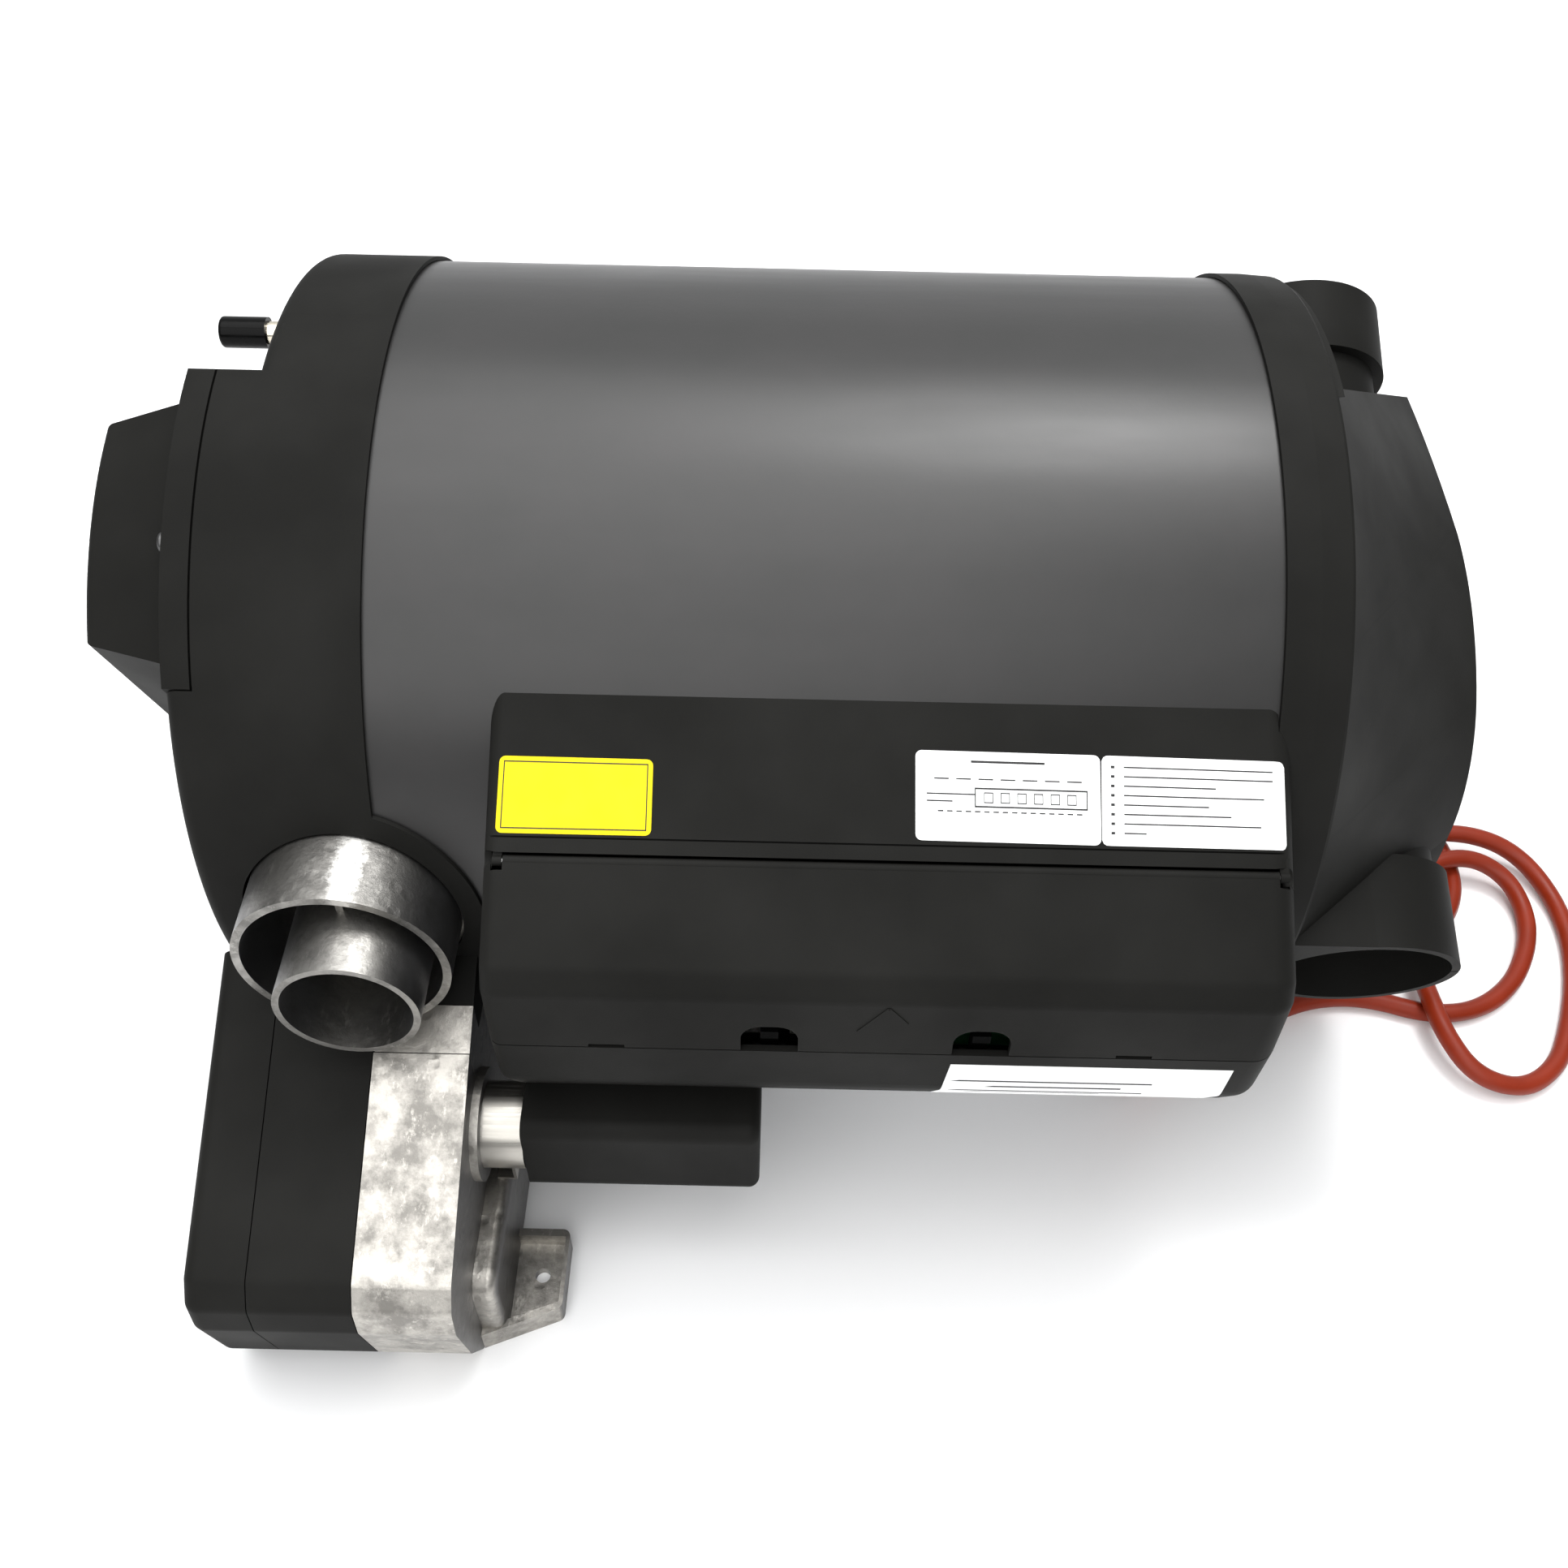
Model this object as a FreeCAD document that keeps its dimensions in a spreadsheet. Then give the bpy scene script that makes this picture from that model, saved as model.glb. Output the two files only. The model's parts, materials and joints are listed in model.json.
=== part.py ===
"""Combined air and water heater for a vehicle, fired with diesel, built as separate pieces.

Every piece is drawn about the axis of the round barrel: X runs along the barrel from the fan
end to the air-outlet end, Y points to the rear and Z points up. A piece is then carried to its
place on the floor by its Placement, so that the heater stands on z = 0 with its middle at x = y = 0.
"""
import FreeCAD, Part
import math
import os
import Sketcher

V = FreeCAD.Vector
doc = FreeCAD.newDocument("diesel_heater")

# Driving dimensions in millimetres. Places are measured from the barrel's axis.
SIZES = {
    # where the barrel's axis stands over the middle of the footprint
    "barrel_x": -2.75, "barrel_y": 42.75, "barrel_z": 150,
    # barrel
    "cap_radius": 150, "jacket_radius": 148.2, "jacket_sheet": 1.2,
    "jacket_left": -150, "jacket_right": 170, "cap_lap": 12, "ring_lap": 9,
    "skirt_bore": 148.5,
    # fan end
    "cap_face": -180, "drum_face": -203, "cap_wall": 3, "cap_edge": 5,
    "top_cut": 103, "top_cut_angle": 55, "rear_cut": 100,
    "lid_cut": 74, "lid_cut_angle": 205, "lid_wide_radius": 88,
    "lid_seat": -193, "lid_gap": 0.8, "lid_face": -236, "lid_inset": 10, "lid_taper": 16,
    "lid_wall": 2.5, "grille_radius": 50, "grille_sheet": 2,
    "fan_radius": 50, "fan_blades": 24, "fan_left": -184, "fan_width": 26, "fan_motor_radius": 24,
    "fan_shaft": 3,
    # water pipes
    "pipe_radius": 5, "pipe_wall": 1, "pipe_end": -241.5, "pipe_y": 116, "pipe_z": 68,
    "rubber_radius": 6.75, "rubber_end": -249.5, "rubber_length": 20.5, "rubber_fit": 0.05,
    # air-outlet end
    "ring_right": 183.5, "ring_bore": 138, "dome_face": 255, "dome_base_radius": 147,
    "dome_wall": 3,
    "outlet_x": 219.6, "outlet_radius": 36, "outlet_bore": 33, "outlet_neck_radius": 31.5,
    "outlet_neck": 26, "dome_cut": 105,
    # core
    "plate_sheet": 2, "air_hole": 11, "air_hole_y": 113.98, "air_hole_z": 30.54,
    "switch_z": 30, "exchanger_radius": 86, "exchanger_core": 60, "exchanger_bore": 52,
    "exchanger_fins": 28, "fin_sheet": 2.4,
    "tank_radius": 138, "tank_bore": 96, "tank_sheet": 1.5, "tank_left": 30, "foam": 8,
    "flame_radius": 38, "flame_sheet": 1.5, "flame_right": 90,
    # electronics housing
    "box_left": -96.5, "box_right": 166.5, "box_wall": 2.5, "box_front": -201, "box_seam": 2,
    "box_bottom": -51, "box_gap": 0.5, "cover_wall": 2.2,
    "hinge_y": -164.8, "hinge_z": 54.9, "bead_radius": 2, "hinge_pin_radius": 1,
    "hinge_fit": 0.06, "hinge_room": 3.3, "ear_radius": 1.7, "part_line": -165.9,
    "window_width": 19, "window_height": 14, "window_one": -3, "window_two": 67,
    "latch_y": -194.6, "latch_z": -11,
    "board_left": -70, "board_right": 140, "board_y": -158, "board_low": -40, "board_high": 34,
    "board_sheet": 1.6,
    "grommet_x": 100, "grommet_y": -163,
    # flue port and burner
    "port_x": -151, "port_z": 3, "port_radius": 37.5, "port_wall": 3, "port_lip": -171,
    "port_root": -118, "exhaust_x": -145.5, "exhaust_radius": 24.75, "exhaust_wall": 2.4,
    "exhaust_lip": -190, "burner_left": -205, "shell_seam": -182, "casting_left": -145.5,
    "casting_right": -111, "burner_saddle": 150, "burner_floor": -150, "burner_edge": 9,
    "motor_y": -188, "motor_z": -74, "motor_radius": 16, "motor_step": -92.5,
    "motor_end_radius": 13, "motor_right": -40,
    "impeller_radius": 23, "impeller_blades": 16,
    "hood_left": -92, "hood_right": -6, "hood_front": -204, "hood_back": -162,
    "hood_top": -51, "hood_bottom": -93, "hood_wall": 2.2,
    "lug_x": -91.5, "lug_y": -215, "lug_hole": 3, "fuel_y": -150, "fuel_z": -120,
    # feet
    "foot_sheet": 2.5, "foot_hole": 3.3, "foot_span": 200, "foot_middle": 35,
    # mains lead
    "cable_radius": 4.25, "coil_radius": 52, "coil_step": 9.2, "coil_turns": 2, "coil_end_radius": 20,
}

sheet = doc.addObject("Spreadsheet::Sheet", "sizes")
for row, (word, number) in enumerate(SIZES.items(), 1):
    sheet.set("A%d" % row, word)
    sheet.set("B%d" % row, str(number))
    sheet.setAlias("B%d" % row, word)

# The fan's middle is as far from both straight sides of the lid as the lid's wide radius.
TOP_REACH, LOW_REACH = "(top_cut - lid_wide_radius)", "(lid_cut - lid_wide_radius)"
TOP, LOW = "(top_cut_angle * 1 deg)", "(lid_cut_angle * 1 deg)"
FAN_MIDDLE = {
    "fan_y": "=(%s * sin%s - %s * sin%s) / sin(%s - %s)" % (TOP_REACH, LOW, LOW_REACH, TOP, LOW, TOP),
    "fan_z": "=(%s * cos%s - %s * cos%s) / sin(%s - %s)" % (LOW_REACH, TOP, TOP_REACH, LOW, LOW, TOP),
}
for row, (word, formula) in enumerate(FAN_MIDDLE.items(), len(SIZES) + 1):
    sheet.set("A%d" % row, word)
    sheet.set("B%d" % row, formula)
    sheet.setAlias("B%d" % row, word)
doc.recompute()


# %% helpers


class Bound:
    """Reads a dimension of the sheet by its name, as a plain number."""

    def __getattr__(self, word):
        return float(getattr(sheet, word))


size = Bound()
FUNCTIONS = ("cos", "sin", "sqrt", "tan")


def bound(text):
    """The expression with each dimension's name turned into a reference to its cell."""
    words = []
    for token in str(text).replace("(", " ( ").replace(")", " ) ").split():
        plain = token.replace("_", "").isalpha() and token not in FUNCTIONS
        words.append("sizes." + token if plain else token)
    return " ".join(words)


def value(text):
    return float(sheet.evalExpression(bound(text)))


def at_barrel(piece):
    """Carry a finished piece from the barrel's axis to its place on the floor."""
    for letter in "xyz":
        piece.setExpression("Placement.Base." + letter, "sizes.barrel_" + letter)
    return piece


def body(label):
    made = doc.addObject("PartDesign::Body", label)
    made.Label = label
    return at_barrel(made)


def sketch(owner, name, role, offset="0"):
    """A sketch on one of the body's own origin planes, moved along its normal."""
    made = owner.newObject("Sketcher::SketchObject", name)
    plane = [feature for feature in owner.Origin.OriginFeatures if feature.Role == role][0]
    made.AttachmentSupport = [(plane, "")]
    made.MapMode = "FlatFace"
    made.setExpression("AttachmentOffset.Base.z", bound(offset))
    return made


def pin_vertex(drawn, geometry, end, across, up):
    for kind, text in (("DistanceX", across), ("DistanceY", up)):
        place = drawn.addConstraint(Sketcher.Constraint(kind, -1, 1, geometry, end, value(text)))
        drawn.setExpression("Constraints[%d]" % place, bound(text))


def polygon(drawn, corners):
    """A closed outline of straight lines, each corner held by the sheet."""
    points = [V(value(across), value(up), 0) for across, up in corners]
    first, count = drawn.GeometryCount, len(points)
    for step in range(count):
        drawn.addGeometry(Part.LineSegment(points[step], points[(step + 1) % count]), False)
    for step in range(count):
        following = first + (step + 1) % count
        drawn.addConstraint(Sketcher.Constraint("Coincident", first + step, 2, following, 1))
        pin_vertex(drawn, first + step, 1, *corners[step])
    return drawn


def circle(drawn, across, up, radius):
    middle = V(value(across), value(up), 0)
    ring = drawn.addGeometry(Part.Circle(middle, V(0, 0, 1), value(radius)), False)
    pin_vertex(drawn, ring, 3, across, up)
    place = drawn.addConstraint(Sketcher.Constraint("Radius", ring, value(radius)))
    drawn.setExpression("Constraints[%d]" % place, bound(radius))
    return drawn


def four_corners(left, right, low, high):
    return [(left, low), (right, low), (right, high), (left, high)]


def box_outline(drawn, left, right, low, high):
    return polygon(drawn, four_corners(left, right, low, high))


def feature(owner, kind, name, profile, **settings):
    made = owner.newObject("PartDesign::" + kind, name)
    made.Profile = profile
    for word, setting in settings.items():
        if isinstance(setting, str) and word in ("Length", "Angle", "TaperAngle"):
            made.setExpression(word, bound(setting))
        else:
            setattr(made, word, setting)
    return made


def turned(owner, name, corners, role="XY_Plane", cut=False):
    """Revolve an outline about the X axis of its sketch."""
    drawn = polygon(sketch(owner, name + "_outline", role), corners)
    kind = "Groove" if cut else "Revolution"
    return feature(owner, kind, name, drawn, ReferenceAxis=(drawn, ["H_Axis"]), Angle="360")


def raised(owner, name, corners, low, length, role="YZ_Plane", cut=False, taper=None):
    """Pad or pocket an outline from the plane at low, over length along the plane's normal."""
    drawn = polygon(sketch(owner, name + "_outline", role, low), corners)
    settings = {"Length": length}
    if taper:
        settings["TaperAngle"] = taper
    if cut:
        settings["Reversed"] = True
    return feature(owner, "Pocket" if cut else "Pad", name, drawn, **settings)


def rounds(owner, name, spots, radii, low, length, role="YZ_Plane", cut=False):
    """Pad or pocket circles from the plane at low. Two radii at one spot make a ring."""
    drawn = sketch(owner, name + "_outline", role, low)
    for across, up in spots:
        for radius in radii:
            circle(drawn, across, up, radius)
    settings = {"Length": length}
    if cut:
        settings["Reversed"] = True
    return feature(owner, "Pocket" if cut else "Pad", name, drawn, **settings)


def around(owner, name, original, count):
    """Repeat a feature evenly round the barrel's axis."""
    drawn = original.Profile[0]
    ring = owner.newObject("PartDesign::PolarPattern", name)
    ring.Originals = [original]
    ring.Axis = (drawn, ["N_Axis"])
    ring.Angle = 360
    ring.setExpression("Occurrences", bound(count))
    owner.Tip = ring
    return ring


def rounded(owner, name, radius, chosen):
    """Round the edges of the body's last feature that the test picks out."""
    doc.recompute()
    base = owner.Tip
    names = ["Edge%d" % (n + 1) for n, edge in enumerate(base.Shape.Edges) if chosen(edge)]
    made = owner.newObject("PartDesign::Fillet", name)
    made.Base = (base, names)
    made.setExpression("Radius", bound(radius))
    return made


def along(edge, letter):
    """Whether a straight edge runs along one axis."""
    if edge.Curve.TypeId != "Part::GeomLine":
        return False
    return abs(getattr(edge.tangentAt(edge.FirstParameter), letter)) > 0.999


def near(edge, **limits):
    """Whether an edge's middle lies between the limits given as x=(low, high) and so on."""
    middle = edge.BoundBox.Center
    return all(low <= getattr(middle, letter) <= high for letter, (low, high) in limits.items())


def solid_feature(label, shape):
    made = doc.addObject("Part::Feature", label)
    made.Label = label
    place = shape.Placement.toMatrix()
    shape = shape.copy()
    shape.Placement = FreeCAD.Placement()
    made.Shape = shape.transformed(place, True)
    return at_barrel(made)


def rod(radius, left, right, across=0.0, up=0.0):
    return Part.makeCylinder(radius, right - left, V(left, across, up), V(1, 0, 0))


def pipe(outer, inner, left, right, across=0.0, up=0.0):
    return rod(outer, left, right, across, up).cut(rod(inner, left - 1, right + 1, across, up))


def block(left, right, front, back, low, high):
    return Part.makeBox(right - left, back - front, high - low, V(left, front, low))


def prism(points, left, right):
    """Extrude an outline of (y, z) corners along X."""
    wire = Part.makePolygon([V(left, *point) for point in points + points[:1]])
    return Part.Face(wire).extrude(V(right - left, 0, 0))


def polar(radius, degrees):
    return (radius * math.cos(math.radians(degrees)), radius * math.sin(math.radians(degrees)))


# %% the lid's drop-shaped outline on the fan end


def drop_face(left, inset):
    """Drop shape: a piece of the barrel's rim in front and the fan's circle behind.

    Two straight sides touch the fan's circle. The shape is drawn inset from the lid's flange.
    """
    rim, wide = size.cap_radius - inset, size.lid_wide_radius - inset
    top, low = math.radians(size.top_cut_angle), math.radians(size.lid_cut_angle)
    top_reach, low_reach = size.top_cut - inset, size.lid_cut - inset
    centre_y, centre_z = fan_centre()
    rim_top = math.degrees(top) + math.degrees(math.acos(top_reach / rim))
    rim_low = math.degrees(low) - math.degrees(math.acos(low_reach / rim))
    first, last = V(left, *polar(rim, rim_top)), V(left, *polar(rim, rim_low))
    crest = V(left, *polar(rim, (rim_top + rim_low) / 2))
    touch_low = V(left, centre_y + wide * math.cos(low), centre_z + wide * math.sin(low))
    touch_top = V(left, centre_y + wide * math.cos(top), centre_z + wide * math.sin(top))
    back = (top + low) / 2 + math.pi
    heel = V(left, centre_y + wide * math.cos(back), centre_z + wide * math.sin(back))
    edges = [Part.Arc(first, crest, last).toShape(), Part.makeLine(last, touch_low),
             Part.Arc(touch_low, heel, touch_top).toShape(), Part.makeLine(touch_top, first)]
    return Part.Wire(edges)


def fan_centre():
    """Middle of the circulation fan, in the plane across the barrel."""
    return size.fan_y, size.fan_z


def beyond(reach, left, right):
    """Everything past the flat that both ends of the barrel have at their upper rear."""
    far = 2 * size.cap_radius
    slab = block(left, right, reach, far, -far, far)
    slab.rotate(V(0, 0, 0), V(1, 0, 0), size.top_cut_angle)
    return slab


def drum_solid(left, right, inset):
    """The raised part of the fan end: the barrel's disc less its top and rear segments."""
    disc = rod(size.cap_radius - inset, left, right)
    far = 2 * size.cap_radius
    rear = block(left - 1, right + 1, size.rear_cut - inset, far, -far, far)
    return disc.cut(beyond(size.top_cut - inset, left - 1, right + 1)).cut(rear)


def smooth(shape, radius, chosen):
    edges = [edge for edge in shape.Edges if chosen(edge)]
    return shape.makeFillet(radius, edges)


# %% fan end


def fan_end_cap():
    """Moulded end cap with a raised drum, a seat for the lid and a skirt over the jacket."""
    face, drum, wall = size.cap_face, size.drum_face, size.cap_wall
    skirt_end = size.jacket_left + size.cap_lap
    shell = rod(size.cap_radius, face, skirt_end)
    shell = smooth(shell, size.cap_edge, lambda edge: near(edge, x=(face - 0.1, face + 0.1)))
    raised_part = drum_solid(drum, face + size.cap_edge + 1, 0)
    rim = lambda edge: near(edge, x=(drum - 0.1, drum + 0.1)) and edge.BoundBox.XLength < 0.01
    shell = shell.fuse(smooth(raised_part, size.cap_edge, rim)).removeSplitter()
    inner = rod(size.skirt_bore - wall, face + wall, size.jacket_left)
    inner = inner.fuse(drum_solid(size.lid_seat + wall, face + wall + 1, wall + 1.5))
    skirt = rod(size.skirt_bore, size.jacket_left, skirt_end + 1)
    flange = Part.Face(drop_face(drum - 1, -0.5)).extrude(V(size.lid_seat - drum + 1, 0, 0))
    across, up = fan_centre()
    eye = rod(size.fan_radius + 6, drum - 1, face, across, up)
    shell = shell.cut(inner).cut(skirt).cut(flange).cut(eye).cut(burner_notch()).fuse(port_lobe())
    for side in (1, -1):
        shell = shell.cut(rod(size.pipe_radius + 0.3, face - 1, face + 10, size.pipe_y,
                              side * size.pipe_z))
    solid_feature("fan_end_cap", shell.removeSplitter())


def fan_lid():
    """Lid over the circulation fan: a flange flush with the drum and a tapered hollow body."""
    seat, top, face = size.lid_seat - size.lid_gap, size.drum_face, size.lid_face
    flange = Part.Face(drop_face(top, 0)).extrude(V(seat - top, 0, 0))
    foot = Part.Face(drop_face(seat - 1, 1.5)).extrude(V(size.lid_seat - seat + 1, 0, 0))
    flange = flange.fuse(foot)
    wall = size.lid_wall
    spread = (top - face) * math.tan(math.radians(size.lid_taper))
    outer = Part.makeLoft([drop_face(top, size.lid_inset), drop_face(face, size.lid_inset + spread)],
                          True, True)
    inner = Part.makeLoft([drop_face(size.lid_seat + 1, size.lid_inset + wall),
                           drop_face(face + wall, size.lid_inset + spread + wall)], True, True)
    outer = smooth(outer, 4, lambda edge: near(edge, x=(face - 0.1, face + 0.1)))
    across, up = fan_centre()
    mouth = rod(size.grille_radius, face - 1, face + wall + 1, across, up)
    lid = flange.fuse(outer).cut(inner).cut(mouth)
    for across, up in lid_screw_spots():
        lid = lid.cut(rod(2.2, top - 1, size.lid_seat + 1, across, up))
    solid_feature("fan_lid", lid.removeSplitter())


def lid_screw_spots():
    across, up = fan_centre()
    reach = size.lid_wide_radius - 5
    behind = [polar(reach, degrees) for degrees in (-75, -10, 45)]
    spots = [(across + y, up + z) for y, z in behind]
    return spots + [polar(size.cap_radius - 5, 126)]


def intake_grille():
    """Round guard with rings and spokes in the mouth of the lid."""
    face, sheet_depth = size.lid_face, size.grille_sheet
    across, up = fan_centre()
    rings = [pipe(reach, reach - 2.2, face, face + sheet_depth, across, up)
             for reach in (14, 26, 38, size.grille_radius)]
    made = rings[0].fuse(rings[1:])
    for turn in range(0, 360, 30):
        spoke = block(face, face + sheet_depth, 13, size.grille_radius - 1, -1, 1)
        spoke.rotate(V(0, 0, 0), V(1, 0, 0), turn)
        spoke.translate(V(0, across, up))
        made = made.fuse(spoke)
    hub = rod(14, face, face + sheet_depth, across, up)
    solid_feature("intake_grille", made.fuse(hub).removeSplitter())


def circulation_fan_wheel():
    """Squirrel-cage wheel: a back plate, curved blades, a front ring and a hub on the shaft."""
    left = size.fan_left
    right = left + size.fan_width
    radius, blades = size.fan_radius, int(size.fan_blades)
    wheel = rod(radius, right - 2, right)
    wheel = wheel.fuse(pipe(radius, radius - 7, left, left + 2))
    blade = pipe(12, 10.6, left + 1, right - 1).common(block(left, right, 0, 20, 0, 20))
    blade.translate(V(0, radius - 12.4, -5))
    for number in range(blades):
        turned_blade = blade.copy()
        turned_blade.rotate(V(0, 0, 0), V(1, 0, 0), number * 360.0 / blades)
        wheel = wheel.fuse(turned_blade)
    wheel = wheel.fuse(rod(9, left + 6, right)).cut(rod(3.05, left, right + 1))
    wheel = wheel.removeSplitter()
    across, up = fan_centre()
    wheel.translate(V(0, across, up))
    solid_feature("circulation_fan_wheel", wheel)


def circulation_fan_motor():
    """Motor behind the wheel, on the air guide plate, with its shaft through the hub."""
    made = body("circulation_fan_motor")
    spot = [("fan_y", "fan_z")]
    face = "fan_left + fan_width + 1"
    rounds(made, "can", spot, ("fan_motor_radius",), face, "jacket_left - ( " + face + " )")
    left = value(face)
    rounded(made, "can_edge", "1.5", lambda edge: near(edge, x=(left - 0.1, left + 0.1)))
    rounds(made, "shaft", spot, ("fan_shaft",), "fan_left + 3", "fan_width - 1")


def fan_scroll():
    """Sheet ring round the wheel that leads the air into the barrel."""
    made = body("fan_scroll")
    left = "lid_seat + cap_wall"
    rounds(made, "ring", [("fan_y", "fan_z")], ("fan_radius + 12", "fan_radius + 10"), left,
           "jacket_left - ( " + left + " )")
    raised(made, "window", four_corners("fan_y - 30", "fan_y + 30", "0 - 120", "fan_z"), left + " + 8",
           "28", cut=True)


def air_guide_plate():
    """Steel plate between the fan end and the barrel, with a ring of air holes."""
    made = body("air_guide_plate")
    rim = "jacket_radius - jacket_sheet - 0.2"
    rounds(made, "plate", [("0", "0")], (rim,), "jacket_left", "plate_sheet")
    hole = rounds(made, "air_hole", [("air_hole_y", "air_hole_z")], ("air_hole",), "jacket_left - 1", "5",
                  cut=True)
    doc.recompute()
    around(made, "air_holes", hole, "12")
    rounds(made, "pipe_holes", [("pipe_y", "pipe_z"), ("pipe_y", "0 - pipe_z")], ("pipe_radius",),
           "jacket_left - 1", "5", cut=True)
    port_notch(made)


def water_pipes():
    """Two straight brass stubs for cold and hot water."""
    radius, wall = size.pipe_radius, size.pipe_wall
    stubs = [pipe(radius, radius - wall, size.pipe_end, size.tank_left, size.pipe_y,
                  side * size.pipe_z) for side in (1, -1)]
    solid_feature("water_pipes", Part.makeCompound(stubs))


def rubber_cap(label, side):
    """Soft cap pushed over the end of a water pipe."""
    made = body(label)
    spot = [("pipe_y", "%d * pipe_z" % side)]
    rounds(made, "cap", spot, ("rubber_radius",), "rubber_end", "rubber_length")
    end = size.rubber_end
    rounded(made, "closed_end", "1.6", lambda edge: near(edge, x=(end - 0.1, end + 0.1)))
    rounds(made, "bore", spot, ("pipe_radius + rubber_fit",), "pipe_end - 0.05",
           "rubber_length + rubber_end - pipe_end + 1", cut=True)


# %% barrel


def burner_notch():
    """Space that the flue port and its elbow take out of the barrel's lower front."""
    round_part = Part.makeCylinder(size.port_radius + 1, 120, V(size.port_x, -90, size.port_z),
                                   V(0, -1, 0))
    lower = block(size.port_x - size.port_radius - 1, size.casting_right + 1, -210, -90, -82,
                  size.port_z)
    return round_part.fuse(lower)


def port_lobe():
    """Black skin of the fan end that goes round the port and down to the elbow casting."""
    outer, right = size.cap_radius, size.casting_right + 13
    skin = pipe(outer, size.skirt_bore, size.jacket_left + 5, right)
    arch = Part.makeCylinder(size.port_radius + 9, 90, V(size.port_x, -90, size.port_z), V(0, -1, 0))
    below = block(size.port_x, right, -180, -90, -62, size.port_z)
    skin = skin.common(arch.fuse(below))
    pad = prism([(-140, -18), (-140, -44.6), (-164.6, -44.6), (-164.6, -29.8)],
                size.casting_left + 0.4, size.casting_right)
    lobe = skin.fuse(pad.cut(rod(size.skirt_bore, -200, 0)))
    return lobe.cut(Part.makeCylinder(size.port_radius + 1, 120, V(size.port_x, -90, size.port_z),
                                      V(0, -1, 0)))


def port_notch(made):
    """Cut the space of the flue port and its elbow out of a round piece's lower front."""
    reach = "0 - port_root + 30"
    drawn = sketch(made, "port_notch_outline", "XZ_Plane", reach)
    circle(drawn, "port_x", "port_z", "port_radius + 1")
    feature(made, "Pocket", "port_notch", drawn, Length="120", Midplane=True)
    low = sketch(made, "elbow_notch_outline", "XZ_Plane", reach)
    box_outline(low, "jacket_left - 5", "casting_right + 1", "0 - 82", "port_z")
    feature(made, "Pocket", "elbow_notch", low, Length="120", Midplane=True)


def barrel_jacket():
    """Painted sheet wrapped round the barrel, notched for the flue port."""
    made = body("barrel_jacket")
    inner = "jacket_radius - jacket_sheet"
    turned(made, "jacket_sheet_roll", [("jacket_left", inner), ("jacket_right", inner),
                                       ("jacket_right", "jacket_radius"), ("jacket_left", "jacket_radius")])
    port_notch(made)


def outlet_bulkhead():
    """Steel plate at the outlet end that holds the core and lets the air through."""
    made = body("outlet_bulkhead")
    left = "jacket_right - plate_sheet"
    rounds(made, "plate", [("0", "0")], ("jacket_radius - jacket_sheet - 0.2",), left, "plate_sheet")
    hole = rounds(made, "air_hole", [("74", "0")], ("9",), left + " - 1", "5", cut=True)
    doc.recompute()
    around(made, "air_holes", hole, "8")


def heat_exchanger():
    """Cast core: a tube with long fins all round, between the two plates."""
    made = body("heat_exchanger")
    drawn = sketch(made, "core_outline", "YZ_Plane", "jacket_left + plate_sheet")
    circle(drawn, "0", "0", "exchanger_core")
    circle(drawn, "0", "0", "exchanger_bore")
    length = "jacket_right - jacket_left - 2 * plate_sheet"
    feature(made, "Pad", "core", drawn, Length=length)
    half = "fin_sheet / 2"
    outline = four_corners("exchanger_core - 1", "exchanger_radius", "0 - " + half, half)
    fin = raised(made, "fin", outline, "jacket_left + plate_sheet", length)
    doc.recompute()
    around(made, "fins", fin, "exchanger_fins")


def flame_tube():
    """Thin steel tube in which the fuel burns, on the burner's end of the core."""
    made = body("flame_tube")
    left, inside = "jacket_left + plate_sheet", "flame_radius - flame_sheet"
    rim = "exchanger_bore - 0.2"
    turned(made, "tube", [(left, inside), ("flame_right", inside), ("flame_right", "flame_radius"),
                          (left + " + 3", "flame_radius"), (left + " + 3", rim), (left, rim)])


def water_tank():
    """Stainless ring-shaped tank round the outlet half of the core, hollow inside."""
    made = body("water_tank")
    drawn = sketch(made, "walls", "XY_Plane")
    right = "jacket_right - plate_sheet"
    box_outline(drawn, "tank_left", right, "tank_bore", "tank_radius")
    box_outline(drawn, "tank_left + tank_sheet", right + " - tank_sheet", "tank_bore + tank_sheet",
                "tank_radius - tank_sheet")
    feature(made, "Revolution", "tank", drawn, ReferenceAxis=(drawn, ["H_Axis"]), Angle="360")


def tank_insulation():
    """Foam shell between the tank and the jacket."""
    made = body("tank_insulation")
    inner, outer = "tank_radius + 0.1", "tank_radius + foam"
    right = "jacket_right - plate_sheet"
    turned(made, "foam", [("tank_left", inner), (right, inner), (right, outer), ("tank_left", outer)])


def overheat_switch():
    """Small round thermostat screwed to the outlet plate, with its flat terminal."""
    made = body("overheat_switch")
    rounds(made, "case", [("0", "switch_z")], ("8",), "jacket_right", "8")
    raised(made, "terminal", four_corners("0 - 3", "3", "switch_z - 2", "switch_z + 2"),
           "jacket_right + 7.5", "4.5")


# %% air-outlet end


def distribution_ring():
    """Black ring that closes the barrel and carries the dome, with a faint facet round it."""
    made = body("distribution_ring")
    turned(made, "ring", [
        ("jacket_right - ring_lap", "skirt_bore"), ("jacket_right", "skirt_bore"),
        ("jacket_right", "ring_bore"), ("ring_right", "ring_bore"), ("ring_right", "cap_radius - 1.2"),
        ("ring_right - 1", "cap_radius - 0.6"), ("ring_right - 11", "cap_radius"),
        ("jacket_right - ring_lap", "cap_radius")])


# Corners of the dome at its base, as degrees round the barrel, and at its face, as (y, z).
DOME_CORNERS = [(101, (82, 76)), (136, (-8, 71)), (163, (-70, 42)), (192, (-93, -8)),
                (228, (-78, -62)), (280, (14, -96)), (325, (84, -64)), (20, (106, 38))]


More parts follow.
